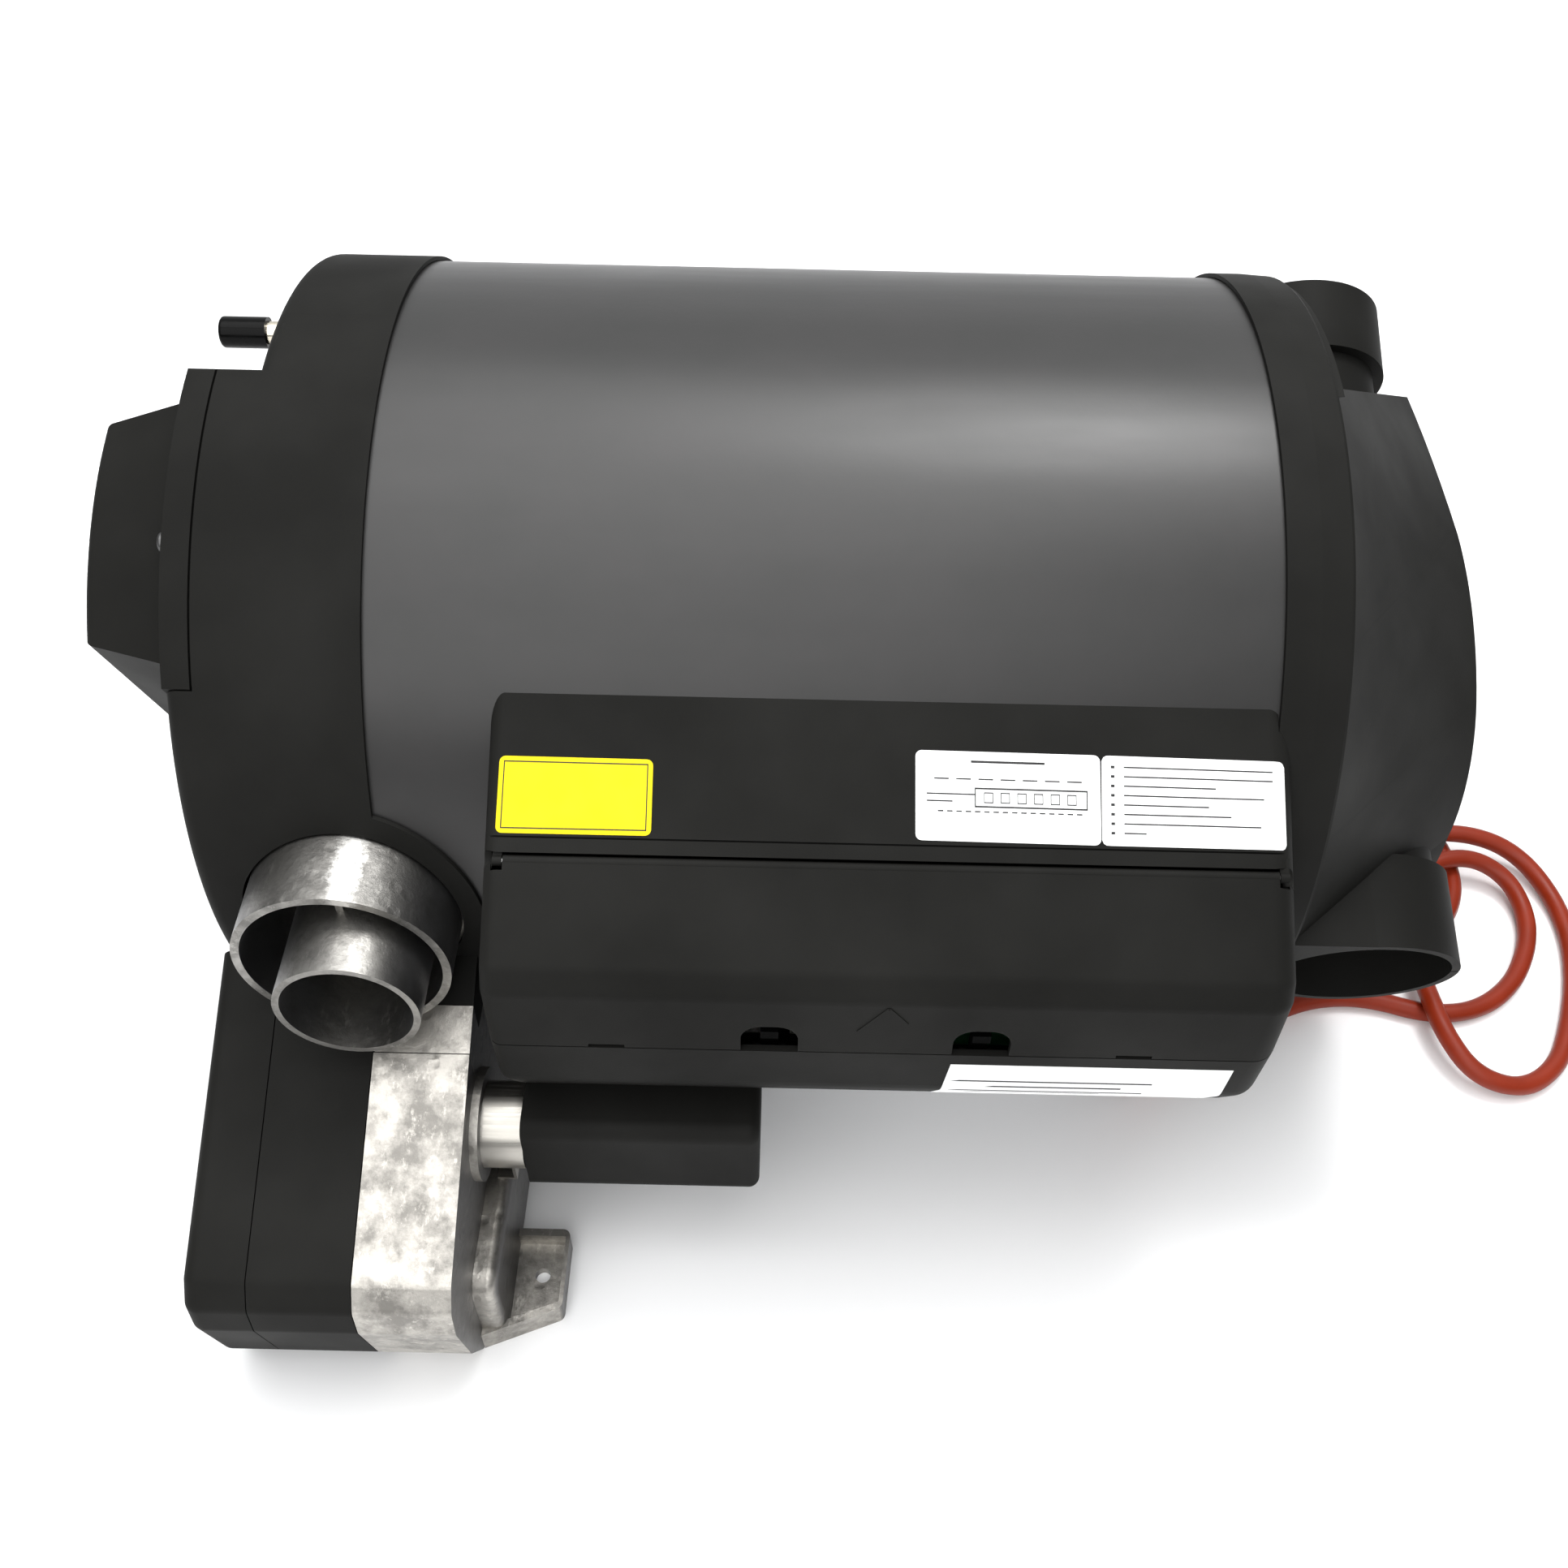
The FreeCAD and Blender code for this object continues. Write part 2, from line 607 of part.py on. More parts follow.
def dome_loft(inset, left, right):
    """Loft from the ring's circle to the dome's smaller, forward-leaning face."""
    base, face = [], []
    count = len(DOME_CORNERS)
    radius = size.dome_base_radius - inset
    shrink = 1 - inset / 95.0
    for number, (start, corner) in enumerate(DOME_CORNERS):
        end, following = DOME_CORNERS[(number + 1) % count]
        sweep = (end - start) % 360
        spots = [V(left, *polar(radius, start + sweep * part)) for part in (0, 0.5, 1)]
        base.append(Part.Arc(*spots).toShape())
        one, two = [V(right, y * shrink, z * shrink) for y, z in (corner, following)]
        swell = 1.07 if 0 < number < count - 1 else 1.02
        middle = (one + two) * 0.5
        middle = V(right, middle.y * swell, middle.z * swell)
        face.append(Part.Arc(one, middle, two).toShape())
    return Part.makeLoft([Part.Wire(base), Part.Wire(face)], True, True)


# Outlet name, then the direction of its axis in degrees round the barrel, how far that axis
# passes beside the barrel's, how far out its lip is, and the length of its collar.
OUTLETS = {"air_outlet_front": (199, -8, 141.5, 36), "air_outlet_rear": (25, 8, 150.5, 31),
           "air_outlet_rear_low": (25, -67, 122, 31), "air_outlet_front_low": (199, 66, 108, 31)}


def outlet_place(turn, shift):
    """Placement that lays a piece drawn along +Z onto an outlet's axis."""
    outward = V(0, *polar(1, turn))
    beside = V(size.outlet_x, *polar(shift, turn + 90))
    return FreeCAD.Placement(beside, FreeCAD.Rotation(V(0, 0, 1), outward))


def distribution_dome():
    """Hollow moulded dome that shares the warm air between the four outlets."""
    left, right, wall = size.ring_right, size.dome_face, size.dome_wall
    dome = dome_loft(0, left, right).cut(beyond(size.dome_cut, left - 1, right + 1))
    room = dome_loft(wall, left - 0.01, right - wall)
    flat = beyond(size.dome_cut - wall, left - 1, right + 1)
    shoulder = rod(size.dome_base_radius, left, left + wall).common(flat)
    dome = dome.cut(room.cut(flat)).fuse(shoulder)
    for label, (turn, shift, lip, collar) in OUTLETS.items():
        way = outlet_solid(label).fuse(Part.makeCylinder(size.outlet_neck_radius - 1, lip))
        way = way.fuse(Part.makeCylinder(size.outlet_radius, 60, V(0, 0, lip - 1)))
        way.Placement = outlet_place(turn, shift)
        dome = dome.cut(way)
    solid_feature("distribution_dome", dome.removeSplitter())


def outlet_solid(label):
    """Outside of an outlet: a collar on a narrower neck. The front one has a squared corner."""
    turn, shift, lip, collar = OUTLETS[label]
    start = lip - collar
    tube = Part.makeCylinder(size.outlet_radius, collar, V(0, 0, start))
    tube = tube.fuse(Part.makeCylinder(size.outlet_neck_radius, collar, V(0, 0, start - size.outlet_neck)))
    if label == "air_outlet_front":
        tube = tube.fuse(block(-size.outlet_radius, 0, 0, size.outlet_radius - 0.4, start - 8, lip))
    return tube


def air_outlet(label):
    """Duct collar with a latch hole and a slit near its lip."""
    turn, shift, lip, collar = OUTLETS[label]
    start = lip - collar
    tube = outlet_solid(label)
    tube = tube.cut(Part.makeCylinder(size.outlet_bore, collar - 3, V(0, 0, start + 3)))
    tube = tube.cut(Part.makeCylinder(size.outlet_neck_radius - 2.5, 200))
    side = 1 if math.cos(math.radians(turn)) < 0 else -1
    for width, low, high, spread in ((3.2, lip - 9, lip - 6, 26), (1, lip - 8, lip + 1, 12)):
        cutter = block(30, 40, -width / 2, width / 2, low, high)
        cutter.rotate(V(0, 0, 0), V(0, 0, 1), side * spread)
        tube = tube.cut(cutter)
    tube = tube.removeSplitter()
    tube.Placement = outlet_place(turn, shift)
    solid_feature(label, tube)


# %% electronics housing


def box_profile():
    """Outline of the electronics housing seen along the barrel, from the jacket and round."""
    return [(-114, 62), (-119.3, 87.3), (-159, 61), (-166, 56.5), (-195, 37.8), (-200, 30),
            (size.box_front, size.box_seam), (-198.5, -24), (-184, size.box_bottom),
            (-128, size.box_bottom)]


def box_solid(inset, left, right, saddle):
    """The housing's whole form, inset by a wall, seated on the barrel."""
    form = prism(box_profile(), left, right)
    form = smooth(form, 14, lambda edge: along(edge, "x") and near(edge, y=(-205, -183),
                                                                   z=(-60, -20)))
    form = smooth(form, 6, lambda edge: along(edge, "x") and near(edge, y=(-202, -193),
                                                                  z=(29, 39)))
    if inset:
        form = form.makeOffsetShape(-inset, 0.01, join=2)
    return form.cut(rod(saddle, left - 5, right + 5))


def cover_region(gap):
    """What lies in front of the parting line: the service cover's own space."""
    back, seam = size.part_line - gap, size.box_seam + gap
    return prism([(back, seam), (back, 90), (-260, 90), (-260, seam)], size.box_left - 5,
                 size.box_right + 5)


def top_panel(start, end, outside, inside, left, right):
    """Slab parallel to the sloping top: from start to end down the slope, and through its depth."""
    corners = [(start, outside), (end, outside), (end, inside), (start, inside)]
    return prism([(-159 - 0.840 * down + 0.543 * deep, 61 - 0.543 * down - 0.840 * deep)
                  for down, deep in corners], left, right)


def housing_form():
    """Outside of the whole housing with its rounded ends, and the hollow in it."""
    left, right, wall = size.box_left, size.box_right, size.box_wall
    form = box_solid(0, left, right, size.jacket_radius)
    form = smooth(form, 5, lambda edge: near(edge, x=(left - 0.1, left + 0.1), y=(-260, -150)))
    form = smooth(form, 9, lambda edge: near(edge, x=(right - 0.1, right + 0.1), y=(-260, -150)))
    ring_left, clear = size.jacket_right - size.ring_lap, size.cap_radius + 0.3
    hollow = box_solid(wall, left, right - 2, size.jacket_radius + wall)
    hollow = hollow.cut(rod(clear + wall, ring_left - wall, right + 1))
    return form.cut(rod(clear, ring_left - 0.3, right + 1)), hollow


def electronics_tray(form, hollow):
    """Housing moulding: back, top panel, side walls, floor and lower front."""
    left, right = size.box_left, size.box_right
    tray = form.cut(hollow).cut(cover_region(0))
    tray = tray.cut(top_panel(0.2, 20, -3, 1.3, left - 1, right + 1))
    hinge = (size.hinge_y, size.hinge_z)
    tray = tray.cut(rod(size.hinge_room, left - 1, right + 1, *hinge))
    for side in (left + 3.2, right - 6.2):
        arm = top_panel(2, 8.2, 1.35, 4.6, side, side + 3)
        tray = tray.fuse(rod(size.ear_radius, side, side + 3, *hinge).fuse(arm))
    tray = tray.cut(rod(size.hinge_pin_radius, left + 3.2, right - 3.2, *hinge))
    for middle in (size.window_one, size.window_two):
        for side in (middle - 5.3, middle + 3.3):
            ear = block(side, side + 2, -199, -192, size.box_seam - 17, size.box_seam - 9)
            tray = tray.fuse(ear.common(hollow))
        tray = tray.cut(rod(1, middle - 5.3, middle + 5.3, size.latch_y, size.latch_z))
    spot = V(size.grommet_x, size.grommet_y, size.box_bottom - 5)
    tray = tray.cut(Part.makeCylinder(10, 20, spot, V(0, 0, 1)))
    solid_feature("electronics_tray", tray.removeSplitter())


def service_cover(form, hollow):
    """Front cover: hinged along its upper edge, with two thumb windows in its lower edge."""
    left, right = size.box_left, size.box_right
    cover = form.common(cover_region(size.box_gap)).cut(hollow)
    hinge = (size.hinge_y, size.hinge_z)
    cover = cover.fuse(rod(size.bead_radius, left + 2.9, right - 2.9, *hinge))
    for side in (left + 2.8, right - 6.6):
        cover = cover.cut(rod(size.hinge_room + 0.4, side, side + 3.8, *hinge))
        cover = cover.cut(top_panel(1, 8.6, 1, 6, side, side + 3.8))
    bore = size.hinge_pin_radius + size.hinge_fit
    cover = cover.cut(rod(bore, left + 2.6, right - 2.6, *hinge))
    for middle in (size.window_one, size.window_two):
        cover = cover.cut(window_cutter(middle))
    for middle in (-57, 118):
        cover = cover.cut(block(middle - 6, middle + 6, -215, -190, size.box_seam - 1,
                                size.box_seam + 2))
    solid_feature("service_cover", cover.removeSplitter())


def window_cutter(middle):
    """Arched thumb window, open at the cover's lower edge."""
    half, high, seam = size.window_width / 2, size.window_height, size.box_seam
    arch = block(middle - half, middle + half, -215, -190, seam - 1, seam + high)
    top = lambda edge: along(edge, "y") and near(edge, z=(seam + high - 0.1, seam + high + 0.1))
    return smooth(arch, half * 0.75, top)


def hinge_cover_strip(form):
    """Narrow strip between the two grooves, set into the housing over the hinge."""
    left, right = size.box_left - 1, size.box_right + 1
    strip = form.common(top_panel(0.8, 7.8, -3, 1.3, left, right))
    strip = strip.cut(rod(size.hinge_room, left, right, size.hinge_y, size.hinge_z))
    solid_feature("hinge_cover_strip", strip)


def cover_hinge_pin():
    """Steel wire that the service cover turns on."""
    made = body("cover_hinge_pin")
    rounds(made, "pin", [("hinge_y", "hinge_z")], ("hinge_pin_radius",), "box_left + 3.2",
           "box_right - box_left - 6.4")


def cover_latch(label, middle):
    """Springy tongue on its own pivot, with a hooked head that shows in a thumb window."""
    made = body(label)
    left = middle + " - 3"
    front, back = "latch_y - 0.9", "latch_y + 0.9"
    raised(made, "tongue", [(front, "latch_z"), (back, "latch_z"), (back, "box_seam + 9"),
                            ("latch_y - 4.6", "box_seam + 9"), ("latch_y - 4.6", "box_seam + 5"),
                            (front, "box_seam + 5")], left, "6")
    spot = [("latch_y", "latch_z")]
    rounds(made, "knuckle", spot, ("2.2",), left, "6")
    rounds(made, "pivot_bore", spot, ("1.05",), left + " - 1", "8", cut=True)


def latch_pivots():
    pins = [rod(1, middle - 5.3, middle + 5.3, size.latch_y, size.latch_z)
            for middle in (size.window_one, size.window_two)]
    solid_feature("latch_pivots", Part.makeCompound(pins))


BOARD_SCREWS = [(across, up) for across in ("board_left + 6", "board_right - 6")
                for up in ("board_low + 6", "board_high - 6")]


def control_board():
    """Circuit board upright in the housing, on four posts."""
    made = body("control_board")
    low = "0 - board_y - board_sheet"
    raised(made, "sheet", four_corners("board_left", "board_right", "board_low", "board_high"), low,
           "board_sheet", "XZ_Plane")
    rounds(made, "screw_holes", BOARD_SCREWS, ("1.7",), low + " - 1", "board_sheet + 2", "XZ_Plane",
           cut=True)
    back = size.board_y + size.board_sheet
    posts = [Part.makeCylinder(3.2, 30, V(value(across), back, value(up)), V(0, 1, 0)).cut(
        rod(size.jacket_radius + size.box_wall, size.board_left - 20, size.board_right + 20))
        for across, up in BOARD_SCREWS]
    solid_feature("board_posts", Part.makeCompound(posts))


def board_parts():
    """Parts soldered to the front of the board: relays, capacitors, sockets, terminals, fuse."""
    y = size.board_y
    relays = [block(left, left + 19, y - 15.5, y, 8, 24) for left in (-52, -28)]
    solid_feature("board_relays", Part.makeCompound(relays))
    cans = [Part.makeCylinder(5, 17, V(left, y - 17, up), V(0, 1, 0))
            for left, up in ((4, 18), (18, 18), (4, 2))]
    solid_feature("board_capacitors", Part.makeCompound(cans))
    sockets = []
    for left, wide in ((-56, 24), (-24, 18), (4, 30)):
        socket = block(left, left + wide, y - 13, y, -34, -24)
        sockets.append(socket.cut(block(left + 1.2, left + wide - 1.2, y - 14, y - 3, -32.8, -25.2)))
    solid_feature("plug_sockets", Part.makeCompound(sockets))


def fuse_and_terminals():
    """Screw terminals for the mains lead and the vehicle's fuse in its holder."""
    face = "0 - board_y"
    made = body("terminal_block")
    raised(made, "strip", four_corners("56", "112", "0 - 34", "0 - 18"), face, "16", "XZ_Plane")
    spots = [("61.6 + %d * 11.2" % step, "0 - 26") for step in range(5)]
    rounds(made, "screw_wells", spots, ("3",), face + " + 9", "8", "XZ_Plane", cut=True)
    made = body("fuse_holder")
    raised(made, "holder", four_corners("60", "82", "8", "16"), face, "9", "XZ_Plane")
    made = body("device_fuse")
    raised(made, "blade_fuse", four_corners("61.5", "80.5", "9.4", "14.6"), face + " + 9", "12",
           "XZ_Plane")
    raised(made, "finger_step", four_corners("64", "78", "8", "16"), face + " + 19", "3", "XZ_Plane",
           cut=True)


def cable_grommet():
    """Rubber grommet in the housing's floor for the wires of the vehicle."""
    made = body("cable_grommet")
    spot = [("grommet_x", "grommet_y")]
    rounds(made, "lower_lip", spot, ("12", "6"), "box_bottom - 2", "2", "XY_Plane")
    rounds(made, "neck", spot, ("10", "6"), "box_bottom", "box_wall", "XY_Plane")
    rounds(made, "upper_lip", spot, ("12", "6"), "box_bottom + box_wall", "2", "XY_Plane")


# %% flue port, burner and combustion blower


def burner_profile():
    """Outline shared by the castings and the blower's shells, seen along the barrel."""
    return [(-110, -4), (-253, -70.5), (-260, -79), (-261.5, -92), (-255, -125),
            (-243, size.burner_floor), (-150, size.burner_floor), (-108, -96)]


def burner_solid(left, right):
    form = prism(burner_profile(), left, right)
    form = smooth(form, 6, lambda edge: along(edge, "x") and near(edge, y=(-265, -240)))
    port = Part.makeCylinder(size.port_radius + 0.4, 300, V(size.port_x, 0, size.port_z),
                             V(0, -1, 0))
    return form.cut(rod(size.burner_saddle, left - 5, right + 5)).cut(port)


def elbow_joint():
    """Half space above the sloping joint between the two castings."""
    return prism([(-181, -60), (-181, 60), (-60, 60), (-60, -60)], -260, -60)


def blower_shells():
    """The two black shells over the blower, hollow inside, parted along a fine seam."""
    left, seam, right = size.burner_left, size.shell_seam, size.casting_left
    impeller = rod(size.impeller_radius + 3, left + 4, right, size.motor_y, size.motor_z)
    outer = burner_solid(left, seam - 0.4)
    outer = smooth(outer, size.burner_edge * 0.6,
                   lambda edge: near(edge, x=(left - 0.1, left + 0.1), y=(-270, -175)))
    outer = outer.cut(impeller)
    inner = burner_solid(seam, right - 0.4).cut(impeller)
    inlet = rod(3.05, left - 1, left + 10, -150, -120)
    solid_feature("blower_outer_shell", outer.cut(inlet))
    solid_feature("blower_inner_shell", inner)


def burner_castings():
    """Aluminium burner casting with its foot, and the elbow casting that carries the port."""
    left, right = size.casting_left, size.casting_right
    casting = burner_solid(left, right).cut(elbow_joint())
    boss = block(right - 1, right + 9, -240, -168, size.burner_floor, -104)
    boss = smooth(boss, 9, lambda edge: along(edge, "x"))
    boss = smooth(boss, 4, lambda edge: near(edge, x=(right + 8.9, right + 9.1)))
    seat = rod(size.motor_radius + 5, right - 1, right + 3, size.motor_y, size.motor_z)
    casting = casting.fuse(boss).fuse(seat).cut(
        rod(size.motor_radius + 0.2, left - 1, right + 20, size.motor_y, size.motor_z))
    casting = casting.fuse(casting_foot()).removeSplitter()
    solid_feature("burner_casting", casting)
    elbow = burner_solid(left + 0.3, right).common(elbow_joint())
    elbow.translate(V(0, 0.4, 0))
    root = block(size.port_x - size.port_radius + 1, right - 1, -146, -114, -76, 2)
    root = root.cut(Part.makeCylinder(size.port_radius, 60, V(size.port_x, size.port_root, size.port_z),
                                      V(0, -1, 0)))
    back = Part.makeCylinder(size.port_radius, 4, V(size.port_x, size.port_root + 4, size.port_z),
                             V(0, -1, 0))
    root = root.cut(burner_solid(size.burner_left - 5, left)).fuse(back)
    room = rod(size.motor_radius + 0.2, left - 1, right + 20, size.motor_y, size.motor_z)
    elbow = elbow.fuse(root).cut(casting).cut(room)
    elbow = elbow.cut(block(size.casting_left, right + 1, -165, -147, -45, 0)).cut(port_lobe())
    elbow = max(elbow.removeSplitter().Solids, key=lambda piece: piece.Volume)
    solid_feature("flue_elbow_casting", elbow)


def casting_foot():
    """Foot plate with a screw hole between two ribs, at the side of the casting."""
    low, left, right = size.burner_floor, size.casting_right, size.lug_x + 10
    outline = [(left, -243), (right, -231), (right, -199), (left, -199)]
    wire = Part.makePolygon([V(x, y, low) for x, y in outline + outline[:1]])
    foot = Part.Face(wire).extrude(V(0, 0, 12))
    corner = lambda edge: along(edge, "z") and near(edge, x=(right - 0.1, right + 0.1))
    foot = smooth(foot, 3, corner)
    inner = [(left - 1, -240.2), (right - 1.6, -228.8), (right - 1.6, -202), (left - 1, -202)]
    pocket = Part.Face(Part.makePolygon([V(x, y, low + 4) for x, y in inner + inner[:1]]))
    hole = Part.makeCylinder(size.lug_hole, 20, V(size.lug_x, size.lug_y, low - 5), V(0, 0, 1))
    return foot.cut(pocket.extrude(V(0, 0, 20))).cut(hole)


def port_tubes():
    """Outer tube for the combustion air and inner tube for the exhaust, one inside the other."""
    root = "0 - port_root"
    outer = body("air_intake_spigot")
    rounds(outer, "tube", [("port_x", "port_z")], ("port_radius", "port_radius - port_wall"), root,
           "port_root - port_lip", "XZ_Plane")
    made = body("exhaust_spigot")
    rounds(made, "tube", [("exhaust_x", "port_z")], ("exhaust_radius", "exhaust_radius - exhaust_wall"),
           root, "port_root - exhaust_lip", "XZ_Plane")
    top = "port_z + port_radius - port_wall - 0.4"
    low = "port_z + exhaust_radius - 1"
    raised(made, "web", four_corners("exhaust_x - 3.5", "exhaust_x - 1", low, top), root,
           "port_root - port_lip - 5", "XZ_Plane")


def combustion_blower():
    """Small motor lying along X with the blower's wheel on its shaft."""
    made = body("combustion_blower_motor")
    spot = [("motor_y", "motor_z")]
    rounds(made, "can", spot, ("motor_radius",), "casting_left + 4", "motor_step - casting_left - 4")
    rounds(made, "rear_can", spot, ("motor_end_radius",), "motor_step - 1", "motor_right - motor_step + 1")
    end = size.motor_right
    rounded(made, "rear_edge", "1.5", lambda edge: near(edge, x=(end - 0.1, end + 0.1)))
    rounds(made, "shaft", spot, ("2.5",), "burner_left + 10", "casting_left - burner_left - 5")
    across, up = size.motor_y, size.motor_z
    left, right = size.burner_left + 12, size.casting_left - 4
    radius = size.impeller_radius
    wheel = rod(radius, right - 2, right)
    for number in range(int(size.impeller_blades)):
        blade = block(left, right - 1, radius * 0.5, radius - 1, -0.7, 0.7)
        blade.rotate(V(0, radius, 0), V(1, 0, 0), 25)
        blade.rotate(V(0, 0, 0), V(1, 0, 0), number * 360.0 / size.impeller_blades)
        wheel = wheel.fuse(blade)
    wheel = wheel.common(rod(radius, left, right))
    wheel = wheel.fuse(rod(6, left + 10, right)).cut(rod(2.55, left, right + 1)).removeSplitter()
    wheel.translate(V(0, across, up))
    solid_feature("combustion_blower_impeller", wheel)


def motor_hood():
    """Moulded hood that hides the free end of the blower's motor."""
    made = body("motor_hood")
    outline = four_corners("hood_front", "hood_back", "hood_bottom", "hood_top")
    raised(made, "block", outline, "hood_left", "hood_right - hood_left")
    rounded(made, "long_edges", "6", lambda edge: along(edge, "x"))
    right = size.hood_right
    rounded(made, "end_edges", "4", lambda edge: near(edge, x=(right - 0.1, right + 0.1)))
    inner = four_corners("hood_front + hood_wall", "hood_back - hood_wall", "hood_bottom + hood_wall",
                          "hood_top - hood_wall")
    raised(made, "room", inner, "hood_left - 1", "hood_right - hood_left + 1 - hood_wall", cut=True)
    spot = [("motor_y", "motor_z")]
    rounds(made, "collar", spot, ("motor_end_radius + 2.6", "motor_end_radius"), "0 - 74", "6")


def motor_clip():
    """Bent spring clip that holds the motor to the casting."""
    made = body("motor_clip")
    foot = "0 - 104"
    raised(made, "strap", [("0 - 107", foot), ("0 - 99.5", foot), ("0 - 99.5", "motor_z - motor_radius"),
                           ("0 - 100.7", "motor_z - motor_radius"), ("0 - 100.7", foot + " + 1.2"),
                           ("0 - 107", foot + " + 1.2")], "181", "14", "XZ_Plane")


def fuel_inlet():
    """Stub for the fuel line, on the outer shell's hidden side."""
    made = body("fuel_inlet")
    spot = [("fuel_y", "fuel_z")]
    rounds(made, "stub", spot, ("3", "1.5"), "burner_left - 16", "24")
    rounds(made, "collar", spot, ("5", "1.5"), "burner_left - 3", "3")


# %% feet and fasteners


def foot_brackets():
    """Bent steel rails in front and behind that carry the barrel on the floor."""
    span, middle = size.foot_span, size.foot_middle
    left, right = middle - span / 2 - 12, middle + span / 2 + 12
    wrap = size.jacket_radius + size.foot_sheet
    for label, side, toe in (("front_foot_rail", -1, 124), ("rear_foot_rail", 1, 176)):
        wide, web = (110, 107.4)
        flange = block(left, right, min(side * web, side * toe), max(side * web, side * toe),
                       -size.barrel_z, -size.barrel_z + size.foot_sheet)
        upright = block(left, right, min(side * web, side * (web + 2.5)),
                        max(side * web, side * (web + 2.5)), -size.barrel_z, -96)
        saddle = pipe(wrap, size.jacket_radius, left, right)
        sector = prism([(side * 107.4, -150), (side * 107.4, -80), (side * 140, -80),
                        (side * 140, -150)] if side < 0 else
                       [(107.4, -150), (140, -150), (140, -80), (107.4, -80)], left, right)
        pad = saddle.common(sector).common(block(left, right, -150, 150, -104, -78))
        rail = flange.fuse(upright).fuse(pad).cut(rod(size.jacket_radius, left - 1, right + 1))
        for across in (middle - span / 2, middle + span / 2):
            rail = rail.cut(Part.makeCylinder(size.foot_hole, 20, V(across, side * (toe - 7.5), -160),
                                              V(0, 0, 1)))
        solid_feature(label, rail.removeSplitter())


# %% mains lead


# Corners of the mains lead's way from its gland to its coil, as (x, y, height over the floor
# line that its middle lies on). A quick rise and fall of 9.5 is where it passes over itself.
LEAD_ROUTE = [
    (136, -148.6, 72.7), (136, -148.6, 42.7), (151, -138, 12.7), (174, -121, 0), (197, -102, 0),
    (222, -84, 0), (246, -74.5, 0), (270, -74, 0), (295, -82.5, 0), (318, -80, 0), (337.5, -66.5, 0),
    (351, -46, 0), (357, -26, 1), (352.5, -6.5, 5), (336, 3.5, 9.5), (315, -0.5, 9.5), (297, -14, 5),
    (275, -22, 1), (249, -22, 0), (230.5, -3.5, 0), (230.5, 23, 0), (249, 42, 0), (275, 42, 1),
    (297, 29.5, 5), (318, 18.5, 9.5), (343, 17, 9.5), (362, 8.5, 5), (373, -13, 1), (374, -38, 0),
    (368, -63, 0), (358, -87, 0), (346, -108.5, 0), (326.5, -121.5, 1), (305, -117, 5), (295, -98, 9.5),
    (293.5, -77, 9.5), (294, -56, 5), (307, -39, 1), (322, -22, 0), (329, 0, 0), (325, 26, 0),
    (316.5, 51.5, 0), (307.5, 78, 0), (296, 104, 0), (282.5, 130, 0), (267, 155, 0), (251, 178.5, 0),
    (242, 202, 0), (242, 222, 0)]


def floor_line():
    """Height of the lead's middle where it lies on the floor."""
    return size.cable_radius + 0.05 - size.barrel_z


def lead_path(route):
    """Straight runs joined by tangent arcs, each as large as its two runs allow."""
    edges, radii, start = [], [], route[0]
    for before, corner, after in zip(route, route[1:], route[2:]):
        arriving, leaving = corner - before, after - corner
        trim = 0.45 * min(arriving.Length, leaving.Length)
        half = arriving.getAngle(leaving) / 2
        radius = trim / math.tan(half)
        arriving.normalize()
        leaving.normalize()
        first, last = corner - arriving * trim, corner + leaving * trim
        inward = (leaving - arriving).normalize()
        middle = corner + inward * (radius / math.cos(half) - radius)
        edges += [Part.makeLine(start, first), Part.Arc(first, middle, last).toShape()]
        radii.append(round(radius, 1))
        start = last
    return Part.Wire(edges + [Part.makeLine(start, route[-1])]), radii


def swept(path, start, heading):
    """Solid tube along a path that starts at a point with a heading."""
    ring = Part.Wire(Part.makeCircle(size.cable_radius, start, heading))
    tube = path.makePipeShell([ring], True, False)
    section = math.pi * size.cable_radius ** 2
    print("tube", round(path.Length), "mm long, volume over section times length",
          round(tube.Volume / section / path.Length, 4))
    return tube


def mains_cable():
    """Free stretch of the mains lead, from its gland to its coil."""
    route = [V(x, y, floor_line() + rise) for x, y, rise in LEAD_ROUTE]
    path, radii = lead_path(route)
    print("lead's radii", radii)
    solid_feature("mains_cable", swept(path, route[0], route[1] - route[0]))


def mains_cable_coil():
    """The rest of the lead, wound inwards on the floor in half turns that grow smaller."""
    up, step = floor_line(), size.coil_step / 2
    start = V(LEAD_ROUTE[-1][0], LEAD_ROUTE[-1][1], up)
    x, y = start.x, start.y + 10
    edges, radius, side = [Part.makeLine(start, V(x, y, up))], size.coil_radius, 1
    for turn in range(int(size.coil_turns) * 2):
        far = x - side * 2 * radius
        crest = V(x - side * radius, y + side * radius, up)
        edges.append(Part.Arc(V(x, y, up), crest, V(far, y, up)).toShape())
        x, side, radius = far, -side, radius - step
    tight = size.coil_end_radius
    corner = V(x - tight + tight * math.cos(math.pi / 4), y + tight * math.sin(math.pi / 4), up)
    last = V(x - tight, y + tight, up)
    edges.append(Part.Arc(V(x, y, up), corner, last).toShape())
    edges.append(Part.makeLine(last, last - V(10, 0, 0)))
    path = Part.Wire(edges)
    spots = path.discretize(Distance=2.0)
    apart = [one.distanceToPoint(other) for place, one in enumerate(spots)
             for other in spots[place + 20:]]
    print("coil's least gap to itself", round(min(apart) - 2 * size.cable_radius, 2))
    solid_feature("mains_cable_coil", swept(path, start, V(0, 1, 0)))
    return last - V(10, 0, 0)


